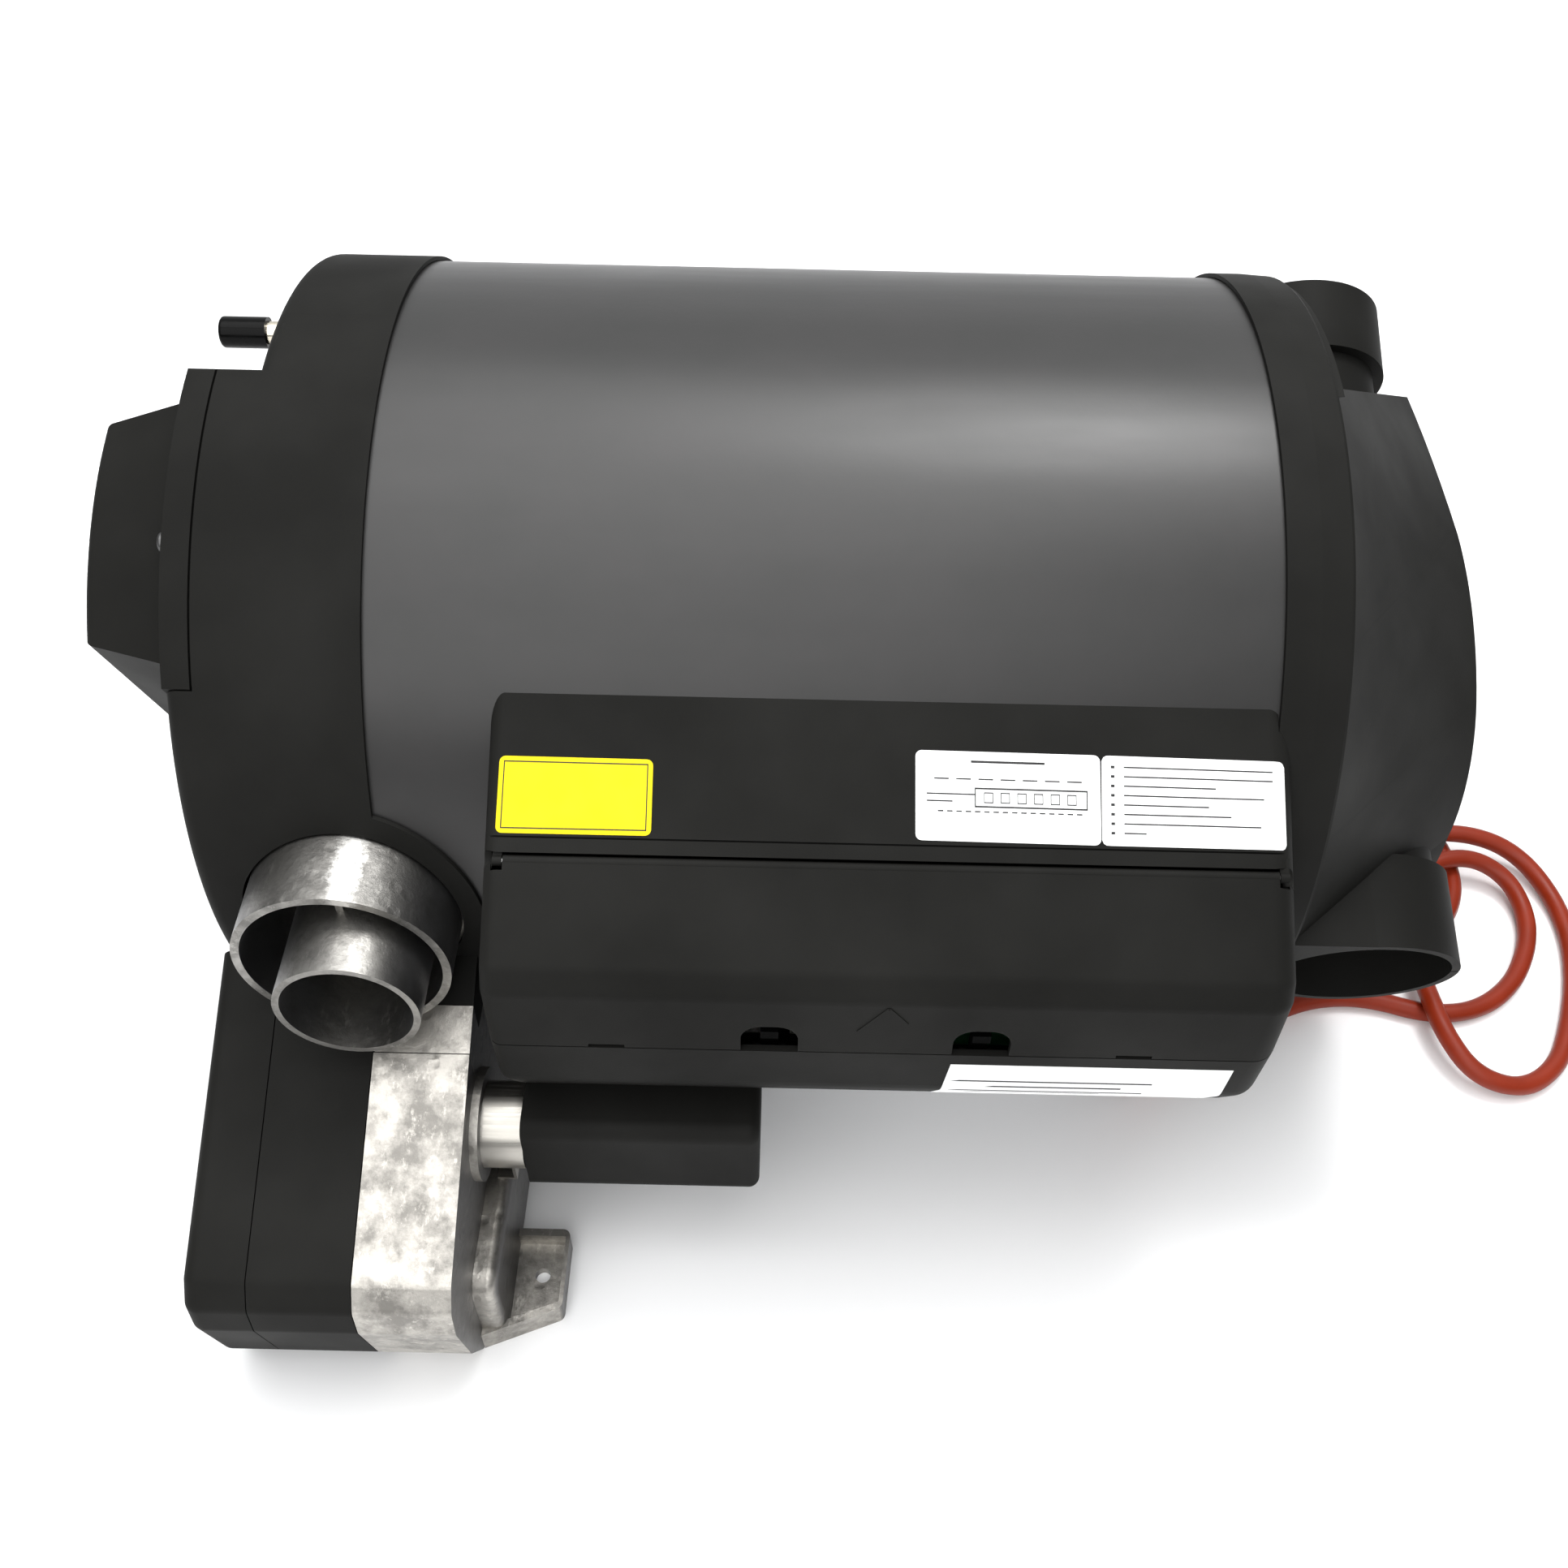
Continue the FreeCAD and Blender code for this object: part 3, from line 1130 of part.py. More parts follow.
def lead_end(place):
    """Short sleeve over the lead's cut end, and the three wires with their ferrules."""
    sleeve = rod(size.cable_radius + 0.04, place.x - 14, place.x, place.y, place.z)
    solid_feature("mains_cable_sheath_end", sleeve)
    wires = []
    for turn in (90, 210, 330):
        across, up = polar(2.1, turn)
        core = rod(1.6, place.x - 23, place.x - 14, place.y + across, place.z + up)
        tip = rod(1.1, place.x - 29, place.x - 23, place.y + across, place.z + up)
        wires.append(core.fuse(tip))
    solid_feature("mains_cable_ferrules", Part.makeCompound(wires))


def mains_cable_gland():
    """Tapered strain relief under the housing's floor, with its nut against the moulding."""
    x, y, rise = LEAD_ROUTE[0]
    low, top = floor_line() + rise, size.box_bottom
    nut = Part.makeCylinder(8.6, 3, V(x, y, top - 3), V(0, 0, 1))
    taper = Part.makeCone(5.4, 7.6, top - 3 - low, V(x, y, low), V(0, 0, 1))
    for place in (0.25, 0.45, 0.65):
        height = low + (top - 3 - low) * place
        ring = Part.makeCylinder(9, 1.2, V(x, y, height), V(0, 0, 1))
        taper = taper.cut(ring.cut(Part.makeCylinder(5.2, 1.2, V(x, y, height), V(0, 0, 1))))
    solid_feature("mains_cable_gland", nut.fuse(taper).removeSplitter())


def screw(length, head=3.6, shank=2.0):
    """Pan head screw along +X, with a cross recess in its head."""
    made = Part.makeCylinder(shank, length, V(0, 0, 0), V(1, 0, 0))
    top = Part.makeCylinder(head, 2.2, V(-2.2, 0, 0), V(1, 0, 0))
    top = smooth(top, 1.1, lambda edge: near(edge, x=(-2.3, -2.1)))
    slot = Part.makeBox(1.4, 0.9, 4, V(-2.3, -0.45, -2))
    slot = slot.fuse(Part.makeBox(1.4, 4, 0.9, V(-2.3, -2, -0.45)))
    return made.fuse(top).cut(slot)


def screws():
    """Lid screws along X, and shorter ones that hold the board to its posts."""
    lid = []
    for across, up in lid_screw_spots():
        one = screw(8)
        one.translate(V(size.drum_face, across, up))
        lid.append(one)
    solid_feature("lid_screws", Part.makeCompound(lid))
    board = []
    for across, up in BOARD_SCREWS:
        one = screw(size.board_sheet, 2.8, 1.65)
        one.rotate(V(0, 0, 0), V(0, 0, 1), 90)
        one.translate(V(value(across), size.board_y, value(up)))
        board.append(one)
    solid_feature("board_screws", Part.makeCompound(board))


# %% build, check and write

fan_end_cap()
fan_lid()
intake_grille()
circulation_fan_wheel()
circulation_fan_motor()
fan_scroll()
air_guide_plate()
water_pipes()
rubber_cap("upper_water_pipe_cap", 1)
rubber_cap("lower_water_pipe_cap", -1)
barrel_jacket()
outlet_bulkhead()
heat_exchanger()
flame_tube()
water_tank()
tank_insulation()
overheat_switch()
distribution_ring()
distribution_dome()
for outlet in OUTLETS:
    air_outlet(outlet)
form, hollow = housing_form()
electronics_tray(form, hollow)
service_cover(form, hollow)
hinge_cover_strip(form)
latch_pivots()
cover_hinge_pin()
cover_latch("cover_latch_left", "window_one")
cover_latch("cover_latch_right", "window_two")
control_board()
board_parts()
fuse_and_terminals()
cable_grommet()
blower_shells()
burner_castings()
port_tubes()
combustion_blower()
motor_hood()
motor_clip()
fuel_inlet()
foot_brackets()
mains_cable_gland()
mains_cable()
lead_end(mains_cable_coil())
screws()
doc.recompute()

os.makedirs("parts", exist_ok=True)
total = 0
for piece in doc.Objects:
    if "Invalid" in piece.State or "Error" in piece.State:
        raise RuntimeError("failed: " + piece.Label)
    top_level = piece.TypeId == "PartDesign::Body" or piece.TypeId == "Part::Feature"
    if not top_level:
        continue
    if piece.Shape.isNull() or not piece.Shape.isValid():
        raise RuntimeError("bad shape: " + piece.Label)
    piece.Shape.exportStep("parts/%s.step" % piece.Label)
    total += 1
    print(piece.Label, len(piece.Shape.Solids), "solids", round(piece.Shape.Volume), "mm3")
print(total, "nodes")
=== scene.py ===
# %% [markdown]
# A vehicle air and water heater lies on a pale floor and is seen from above its service side.
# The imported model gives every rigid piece. This script gives them their finishes, adds the
# small things that are too fine for the model, and lights the whole.

# %% frame
import json
import math
import bpy
from mathutils import Matrix, Vector
from mathutils.bvhtree import BVHTree

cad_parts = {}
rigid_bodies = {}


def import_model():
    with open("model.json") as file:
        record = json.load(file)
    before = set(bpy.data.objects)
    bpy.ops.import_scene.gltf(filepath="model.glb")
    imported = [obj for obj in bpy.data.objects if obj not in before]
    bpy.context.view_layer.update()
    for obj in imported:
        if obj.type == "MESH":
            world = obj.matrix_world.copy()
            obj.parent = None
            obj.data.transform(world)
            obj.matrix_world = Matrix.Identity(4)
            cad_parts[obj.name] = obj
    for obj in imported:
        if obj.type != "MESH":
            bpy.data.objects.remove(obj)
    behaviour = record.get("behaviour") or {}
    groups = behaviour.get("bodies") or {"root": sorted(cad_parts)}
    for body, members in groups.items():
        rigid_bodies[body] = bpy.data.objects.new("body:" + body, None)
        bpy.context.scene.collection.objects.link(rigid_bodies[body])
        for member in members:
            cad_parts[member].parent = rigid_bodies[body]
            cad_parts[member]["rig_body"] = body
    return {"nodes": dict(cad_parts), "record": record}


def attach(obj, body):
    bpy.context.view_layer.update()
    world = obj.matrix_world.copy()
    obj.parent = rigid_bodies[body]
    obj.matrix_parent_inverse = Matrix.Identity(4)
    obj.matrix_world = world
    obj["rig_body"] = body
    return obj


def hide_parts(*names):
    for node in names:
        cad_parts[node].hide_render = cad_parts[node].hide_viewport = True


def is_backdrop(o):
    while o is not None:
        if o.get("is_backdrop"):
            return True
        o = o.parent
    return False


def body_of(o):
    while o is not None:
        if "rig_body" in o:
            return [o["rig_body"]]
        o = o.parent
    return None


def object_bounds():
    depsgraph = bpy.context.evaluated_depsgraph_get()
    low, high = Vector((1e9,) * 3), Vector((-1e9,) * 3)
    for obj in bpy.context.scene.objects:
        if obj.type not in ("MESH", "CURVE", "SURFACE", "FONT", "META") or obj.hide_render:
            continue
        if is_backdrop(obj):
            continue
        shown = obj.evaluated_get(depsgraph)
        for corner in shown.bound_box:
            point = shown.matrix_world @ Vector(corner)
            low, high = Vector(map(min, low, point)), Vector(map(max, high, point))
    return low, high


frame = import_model()
MM = 0.001
low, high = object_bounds()
print("model", [round(b - a, 4) for a, b in zip(low, high)])

# %% [markdown]
# Every place is measured from the barrel's axis, as in the model: X along the barrel towards
# the warm-air outlets, Y to the rear, Z up. Metres of the frame would do as well, but a place
# in millimetres from the axis can be compared with the model's own sizes.

# %% places
BARREL = Vector((-0.00275, 0.04275, 0.150))


def at(along, rearward, upward):
    """A place measured from the barrel's axis in millimetres, in the frame's metres."""
    return BARREL + Vector((along, rearward, upward)) * MM


print("barrel axis", [round(part, 4) for part in at(0, 0, 0)])

# %% [markdown]
# The camera stands in front of the heater and above it, and looks down at 48 degrees. The
# photograph leans a little, so the camera is rolled by the same angle. Its axes are worked out
# first, because the stickers are laid along the camera's own lines of sight.

# %% camera
LOOK_DOWN = math.radians(48.4)
ROLL = math.radians(1.27)
PICTURE = 1932
FOCAL_PIXELS = 1900
SENSOR = 36.0
FAR_LIMIT = 20.0
EYE = at(0.0, -474.6, 444.1)
forward = Vector((0.0, math.cos(LOOK_DOWN), -math.sin(LOOK_DOWN)))
level_up = Vector((0.0, math.sin(LOOK_DOWN), math.cos(LOOK_DOWN)))
level_right = Vector((1.0, 0.0, 0.0))
view_right = level_right * math.cos(ROLL) + level_up * math.sin(ROLL)
view_up = level_up * math.cos(ROLL) - level_right * math.sin(ROLL)

turn = Matrix((view_right, view_up, -forward)).transposed()
bpy.ops.object.camera_add(location=EYE, rotation=turn.to_euler())
camera = bpy.context.object
camera.name = "camera"
camera.data.sensor_width = SENSOR
camera.data.lens = SENSOR * FOCAL_PIXELS / PICTURE
camera.data.clip_end = FAR_LIMIT
bpy.context.scene.camera = camera
print("lens", round(camera.data.lens, 2), "mm")


def sight(across, down):
    """The direction in which the camera sees a pixel of the photograph."""
    middle = PICTURE / 2
    way = view_right * (across - middle) - view_up * (down - middle) + forward * FOCAL_PIXELS
    return way.normalized()


# %% [markdown]
# The red mains lead leaves the housing's underside, lies on the floor to the right in open
# loops, and ends in a flat coil behind the barrel. It follows the imported model's own route. The
# places are given in millimetres along, to the rear and above the floor line.

# %% lead's route
FLOOR_LINE = -145.7
ROUTE = (
    (136, -148.6, 72.7), (136, -147, 42.7), (149, -132, 12.7), (170, -114, 0), (195, -98, 0),
    (222, -84, 0), (246, -74.5, 0), (270, -74, 0), (295, -82.5, 0), (318, -80, 0),
    (337.5, -66.5, 0), (351, -46, 0), (357, -26, 1), (352.5, -6.5, 5), (336, 3.5, 9.5),
    (315, -0.5, 9.5), (297, -14, 5), (275, -22, 1), (249, -22, 0), (230.5, -3.5, 0),
    (230.5, 23, 0), (249, 42, 0), (275, 42, 1), (297, 29.5, 5), (318, 18.5, 9.5),
    (343, 17, 9.5), (362, 8.5, 5), (373, -13, 1), (374, -38, 0), (368, -63, 0), (358, -87, 0),
    (346, -108.5, 0), (326.5, -121.5, 1), (305, -117, 5), (295, -98, 9.5), (293.5, -77, 9.5),
    (294, -56, 5), (307, -39, 1), (322, -22, 0), (329, 0, 0), (325, 26, 0), (316.5, 51.5, 0),
    (307.5, 78, 0), (296, 104, 0), (282.5, 130, 0), (267, 155, 0), (251, 178.5, 0),
    (242, 202, 0))
way = [at(x, y, FLOOR_LINE + rise) for x, y, rise in ROUTE]
print(len(way), "places before the coil")

# %% [markdown]
# The coil is half turns about two middles, each a little tighter than the last, so that the
# turns lie side by side. A curve of this order cuts its corners, so its points stand outside
# the circle by the cosine of half a step.

# %% lead's coil
COIL_MIDDLE = 232
HALF_TURNS = ((190, 52), (185.4, 47.4), (190, 42.8), (185.4, 38.2))
COIL_END = ((223.6, 240.3), (211.9, 252), (193.6, 252))
STEPS = 8

stride = math.pi / STEPS
for half, (middle, radius) in enumerate(HALF_TURNS):
    reach = radius / math.cos(stride / 2)
    for step in range(STEPS):
        angle = math.pi * half + (step + 0.5) * stride
        way.append(at(middle + reach * math.cos(angle), COIL_MIDDLE + reach * math.sin(angle),
                      FLOOR_LINE))
way += [at(x, y, FLOOR_LINE) for x, y in COIL_END]
print(len(way), "places in the lead")

# %% [markdown]
# The model has the lead in two stretches of tube. One smooth curve with a round section takes
# the place of both. The sheath's end and the ferrules stay the model's own pieces.

# %% mains lead
LEAD_DIAMETER = 0.0085
CURVE_ORDER = 3
STRETCH_STEPS = 8
ROUND_STEPS = 4

bpy.ops.object.select_all(action="DESELECT")
bpy.ops.curve.primitive_nurbs_path_add(location=(0, 0, 0))
lead = bpy.context.object
lead.name = "mains_lead"
lead.data.splines.clear()
strand = lead.data.splines.new("NURBS")
strand.points.add(len(way) - 1)
for spot, place in zip(strand.points, way):
    spot.co = (*place, 1.0)
strand.order_u = CURVE_ORDER
strand.use_endpoint_u = True
strand.resolution_u = STRETCH_STEPS
lead.data.dimensions = "3D"
lead.data.bevel_depth = LEAD_DIAMETER / 2
lead.data.bevel_resolution = ROUND_STEPS
lead.data.use_fill_caps = True
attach(lead, "root")
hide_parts("mains_cable", "mains_cable_coil")

# %% [markdown]
# Materials are built from a few helpers. Patterns read Object coordinates, so they have real
# sizes: a noise of scale 1000 has grains of about a millimetre.

# %% patterns
WHOLE = (1, 1, 1)


def new_material(name):
    """An empty material with its shader, ready for patterns."""
    made = bpy.data.materials.new(name)
    made.use_nodes = True
    tree = made.node_tree
    tree.nodes["Principled BSDF"].name = "surface"
    return made, tree, tree.nodes["surface"]


def place_of(tree, stretch=WHOLE):
    """Object coordinates, stretched along an axis where a pattern has a direction."""
    where = tree.nodes.new("ShaderNodeTexCoord")
    turned = tree.nodes.new("ShaderNodeMapping")
    turned.inputs["Scale"].default_value = stretch
    tree.links.new(where.outputs["Object"], turned.inputs["Vector"])
    return turned.outputs["Vector"]


def noise(tree, scale, detail=3.0, rough=0.5, stretch=WHOLE):
    """A cloudy pattern from 0 to 1."""
    made = tree.nodes.new("ShaderNodeTexNoise")
    made.inputs["Scale"].default_value = scale
    made.inputs["Detail"].default_value = detail
    made.inputs["Roughness"].default_value = rough
    tree.links.new(place_of(tree, stretch), made.inputs["Vector"])
    return made.outputs["Fac"]


def cells(tree, scale):
    """Distance to the nearest point of a random scatter."""
    made = tree.nodes.new("ShaderNodeTexVoronoi")
    made.inputs["Scale"].default_value = scale
    tree.links.new(place_of(tree), made.inputs["Vector"])
    return made.outputs["Distance"]


print("patterns: noise and cells")

# %% [markdown]
# A pattern seldom fits as it is. These helpers stretch it over another range, reckon with it,
# and turn it into a colour.

# %% reckoning with patterns
RANGE_SOCKETS = ("From Min", "From Max", "To Min", "To Max")
FIRST_COLOUR, SECOND_COLOUR, MIXED_COLOUR = 6, 7, 2


def spread(tree, source, start, end, to_start=0.0, to_end=1.0):
    """Stretches a stretch of a pattern's values over another range."""
    made = tree.nodes.new("ShaderNodeMapRange")
    tree.links.new(source, made.inputs["Value"])
    for socket, number in zip(RANGE_SOCKETS, (start, end, to_start, to_end)):
        made.inputs[socket].default_value = number
    return made.outputs["Result"]


def reckon(tree, operation, first, second):
    """Sum, product or other reckoning of two patterns or numbers."""
    made = tree.nodes.new("ShaderNodeMath")
    made.operation = operation
    for socket, given in zip(made.inputs, (first, second)):
        if isinstance(given, (int, float)):
            socket.default_value = given
        else:
            tree.links.new(given, socket)
    return made.outputs["Value"]


def size_of(tree, source):
    """A pattern's value without its sign."""
    return reckon(tree, "ABSOLUTE", source, 0.0)


def blend_colours(tree, amount, first, second):
    """Goes from the first colour to the second as a pattern rises."""
    made = tree.nodes.new("ShaderNodeMix")
    made.data_type = "RGBA"
    tree.links.new(amount, made.inputs["Factor"])
    for number, given in ((FIRST_COLOUR, first), (SECOND_COLOUR, second)):
        if isinstance(given, tuple):
            made.inputs[number].default_value = (*given, 1.0)
        else:
            tree.links.new(given, made.inputs[number])
    return made.outputs[MIXED_COLOUR]


print("helpers: spread, reckon and blend")

# %% [markdown]
# Relief too fine to model is a bump in the shader, with its depth in metres. `dress` then leads
# the finished patterns to the shader's own sockets.

# %% relief
def relief(tree, height, depth, base=None):
    """Raises a surface by a pattern, to a depth in metres."""
    made = tree.nodes.new("ShaderNodeBump")
    made.inputs["Distance"].default_value = depth
    made.inputs["Strength"].default_value = 1.0
    tree.links.new(height, made.inputs["Height"])
    if base is not None:
        tree.links.new(base, made.inputs["Normal"])
    return made.outputs["Normal"]


def dress(tree, surface, colour=None, rough=None, bump=None):
    """Leads patterns to the shader's colour, roughness and normal."""
    for socket, pattern in (("Base Color", colour), ("Roughness", rough), ("Normal", bump)):
        if pattern is not None:
            tree.links.new(pattern, surface.inputs[socket])


print("helpers: relief and dress")

# %% [markdown]
# Mouldings: a satin black plastic with a fine grain from its tool, rubbed a little smoother in
# places, with faint dust. An even black would look like a hole in the picture, so its colour,
# shine and surface all wander. The same recipe in other colours makes the small electrical
# parts.

# %% plastics
DUST = (0.42, 0.41, 0.39)
RUBBED_SCALE = 18.0
SPECK_SCALE = 420.0
SPECK_SIZE = 0.045
GRAIN_SCALE = 1500.0
HOLLOW_SCALE = 14.0
HOLLOW_DEPTH = 0.0004
SHARP_GRAIN = 0.00001


def moulded(name, colour, rough=0.42, grain=0.00003, dust=0.03, shine=0.5):
    """Moulded plastic with tool grain, soft hollows, rubbed clouds and specks of dust."""
    made, tree, surface = new_material(name)
    surface.inputs["Specular IOR Level"].default_value = shine
    rubbed = noise(tree, RUBBED_SCALE)
    lighter = tuple(part * 1.35 + dust * 0.15 for part in colour)
    tint = blend_colours(tree, spread(tree, rubbed, 0.35, 0.7), colour, lighter)
    specks = spread(tree, cells(tree, SPECK_SCALE), 0.0, SPECK_SIZE, 1.0, 0.0)
    fine = relief(tree, noise(tree, GRAIN_SCALE, 2.0), grain)
    dress(tree, surface,
          colour=blend_colours(tree, reckon(tree, "MULTIPLY", specks, dust * 4), tint, DUST),
          rough=spread(tree, rubbed, 0.3, 0.75, rough + 0.06, rough - 0.07),
          bump=relief(tree, noise(tree, HOLLOW_SCALE, 2.0), HOLLOW_DEPTH, fine))
    return made


print("recipe: moulded plastic")

# %% [markdown]
# Rubber and silicone have no tool grain. Handling leaves smears on them that are duller than
# the rest, with a very fine unevenness below.

# %% rubber
SMEAR_SCALE = 60.0
RUBBER_GRAIN_SCALE = 700.0
RUBBER_GRAIN = 0.00003


def rubber(name, colour, rough=0.28, shine=0.5):
    """Smooth rubber with smears that are duller and a little paler."""
    made, tree, surface = new_material(name)
    surface.inputs["Specular IOR Level"].default_value = shine
    smear = noise(tree, SMEAR_SCALE, 4.0)
    dull = tuple(part * 1.5 + 0.001 for part in colour)
    dress(tree, surface,
          colour=blend_colours(tree, smear, colour, dull),
          rough=spread(tree, smear, 0.3, 0.7, rough, rough + 0.2),
          bump=relief(tree, noise(tree, RUBBER_GRAIN_SCALE), RUBBER_GRAIN))
    return made


print("recipe: rubber")

# %% [markdown]
# The barrel's sheet jacket has a satin dark grey coating: fine orange peel, a slight mottle,
# and long faint marks along the barrel. The marks come from a noise that is stretched along X,
# because that is how the sheet was rolled and wiped.

# %% coated sheet
COAT_WARMTH = (1.22, 1.17, 1.2)
MARK_STRETCH = (0.15, 1, 1)
PEEL_SCALE, PEEL_DEPTH = 420.0, 0.00002
DENT_SCALE, DENT_DEPTH = 7.0, 0.0005


def coated_sheet(name, colour):
    """Coated sheet with orange peel, mottle and marks along the barrel."""
    made, tree, surface = new_material(name)
    surface.inputs["Metallic"].default_value = 0.25
    mottle = noise(tree, 26.0, 6.0, 0.65)
    warm = tuple(part * scale for part, scale in zip(colour, COAT_WARMTH))
    marks = noise(tree, 34.0, 5.0, 0.6, MARK_STRETCH)
    peel = relief(tree, noise(tree, PEEL_SCALE, 2.0), PEEL_DEPTH)
    dress(tree, surface,
          colour=blend_colours(tree, spread(tree, mottle, 0.3, 0.7), colour, warm),
          rough=spread(tree, marks, 0.3, 0.75, 0.32, 0.42),
          bump=relief(tree, noise(tree, DENT_SCALE, 1.0), DENT_DEPTH, peel))
    return made


print("recipe: coated sheet")

# %% [markdown]
# Castings are bare alloy: cloudy, with pits, dark stains in the hollows and bright scuffs. The
# faces that look along the barrel look duller under the light, so each face is darkened by its
# own direction: painted shade. The port also has a bright ragged strip along its crown, a
# painted highlight where the light reflects.

# %% castings
CLOUD_SCALE = 55.0
SCUFF_SCALE = 260.0
SCUFF_STRETCH = (1, 0.35, 1)
SHADE_TINT = (0.96, 0.98, 1.05)
# The colour, edges and raggedness of the port's painted highlight along its crown.
HIGHLIGHT_TONE = (0.82, 0.81, 0.78)
STRIP_EDGE = (0.0088, 0.0128)
STRIP_RAGGED = 0.014
CAST_GRAIN = 0.00016


def crown_highlight(tree, where, highlight_line):
    """A painted highlight: a ragged strip about a place along the barrel, above a height."""
    along, height = highlight_line
    place = tree.nodes.new("ShaderNodeSeparateXYZ")
    tree.links.new(where.outputs["Object"], place.inputs["Vector"])
    ragged = reckon(tree, "MULTIPLY", noise(tree, SCUFF_SCALE, 6.0, 0.8), STRIP_RAGGED)
    off = size_of(tree, reckon(tree, "SUBTRACT", place.outputs["X"], along))
    strip = spread(tree, reckon(tree, "ADD", off, ragged), *STRIP_EDGE, 1.0, 0.0)
    above = spread(tree, place.outputs["Z"], height, height + MM)
    return reckon(tree, "MULTIPLY", strip, above)


def cast_metal(name, colour, stain=0.5, pits=0.00025, side_shade=0.55, highlight_line=None):
    """Bare alloy: stains, scuffs, pits, painted shade on the sides, perhaps a painted highlight.
    """
    made, tree, surface = new_material(name)
    surface.inputs["Metallic"].default_value = 1.0
    clouds = noise(tree, CLOUD_SCALE, 8.0, 0.7)
    dark = tuple(part * (1.0 - stain) for part in colour)
    tone = blend_colours(tree, spread(tree, clouds, 0.40, 0.58), dark, colour)
    scuffs = spread(tree, noise(tree, SCUFF_SCALE, 6.0, 0.75, SCUFF_STRETCH), 0.56, 0.7)
    bright = tuple(min(part * 1.3, 0.95) for part in colour)
    tone = blend_colours(tree, scuffs, tone, bright)
    # Painted shade: faces that look along the barrel are darkened by their own direction.
    where = tree.nodes.new("ShaderNodeTexCoord")
    facing = tree.nodes.new("ShaderNodeSeparateXYZ")
    tree.links.new(where.outputs["Normal"], facing.inputs["Vector"])
    side_shade_mask = spread(tree, size_of(tree, facing.outputs["X"]), 0.55, 0.9)
    shade = tuple(part * (1.0 - side_shade) * tint for part, tint in zip(colour, SHADE_TINT))
    tone = blend_colours(tree, side_shade_mask, tone, shade)
    # Painted highlight: a bright ragged strip along the port's crown.
    if highlight_line is not None:
        tone = blend_colours(tree, crown_highlight(tree, where, highlight_line), tone, HIGHLIGHT_TONE)
    pitted = spread(tree, cells(tree, 130.0), 0.0, 0.32)
    grain = relief(tree, noise(tree, 320.0, 6.0, 0.7), CAST_GRAIN)
    dress(tree, surface, colour=tone,
          rough=spread(tree, clouds, 0.3, 0.7, 0.5, 0.34),
          bump=relief(tree, pitted, pits, grain))
    return made


print("recipe: cast metal")

# %% [markdown]
# Turned and rolled metals have fine lines along one axis. A noise stretched along X gives both
# the lines' shine and their depth, so that the two agree.

# %% rolled metals
LINE_STRETCH = (0.02, 1, 1)
LINE_SCALE = 900.0
LINE_DEPTH = 0.00001


def rolled_metal(name, colour, rough=0.32):
    """Rolled or turned metal with fine lines and faint clouds."""
    made, tree, surface = new_material(name)
    surface.inputs["Metallic"].default_value = 1.0
    lines = noise(tree, LINE_SCALE, 4.0, 0.6, LINE_STRETCH)
    clouds = noise(tree, 40.0, 5.0)
    dark = tuple(part * 0.72 for part in colour)
    dress(tree, surface,
          colour=blend_colours(tree, spread(tree, clouds, 0.3, 0.7), dark, colour),
          rough=spread(tree, lines, 0.3, 0.7, rough - 0.08, rough + 0.12),
          bump=relief(tree, lines, LINE_DEPTH))
    return made


print("recipe: rolled metal")

# %% [markdown]
# Two finishes show only when the heater is open: the tank's foam, with its bubbles, and the
# control board's green lacquer over its tracks. Rows of bricks stand for the tracks, since a
# real board's layout can't be seen.

# %% foam and board
FOAM_BUBBLES = 700.0
BUBBLE_DEPTH = 0.0006
TRACK_SCALE = 95.0
TRACK_DEPTH = 0.00004
LACQUER = {"Color1": (0.012, 0.11, 0.05, 1), "Color2": (0.014, 0.14, 0.06, 1),
           "Mortar": (0.035, 0.22, 0.1, 1)}


def foam(name, colour):
    """Dull foam with small bubbles, with painted shade at their hollow middles."""
    made, tree, surface = new_material(name)
    surface.inputs["Roughness"].default_value = 0.9
    bubbles = cells(tree, FOAM_BUBBLES)
    dark = tuple(part * 0.7 for part in colour)
    dress(tree, surface,
          colour=blend_colours(tree, bubbles, dark, colour),
          bump=relief(tree, bubbles, BUBBLE_DEPTH))
    return made


def lacquered_board(name):
    """Green lacquer over raised tracks."""
    made, tree, surface = new_material(name)
    surface.inputs["Roughness"].default_value = 0.25
    tracks = tree.nodes.new("ShaderNodeTexBrick")
    tracks.inputs["Scale"].default_value = TRACK_SCALE
    tracks.inputs["Mortar Size"].default_value = 0.06
    for socket, tone in LACQUER.items():
        tracks.inputs[socket].default_value = tone
    tree.links.new(place_of(tree), tracks.inputs["Vector"])
    dress(tree, surface, colour=tracks.outputs["Color"],
          bump=relief(tree, tracks.outputs["Fac"], TRACK_DEPTH))
    return made


print("recipes: foam and lacquered board")

# %% [markdown]
# Each material slot of the model gets one finish, and each node takes its slot's finish. The
# plastics are nearly black with little shine, because their pale glaze in the photograph comes
# from the light above them.

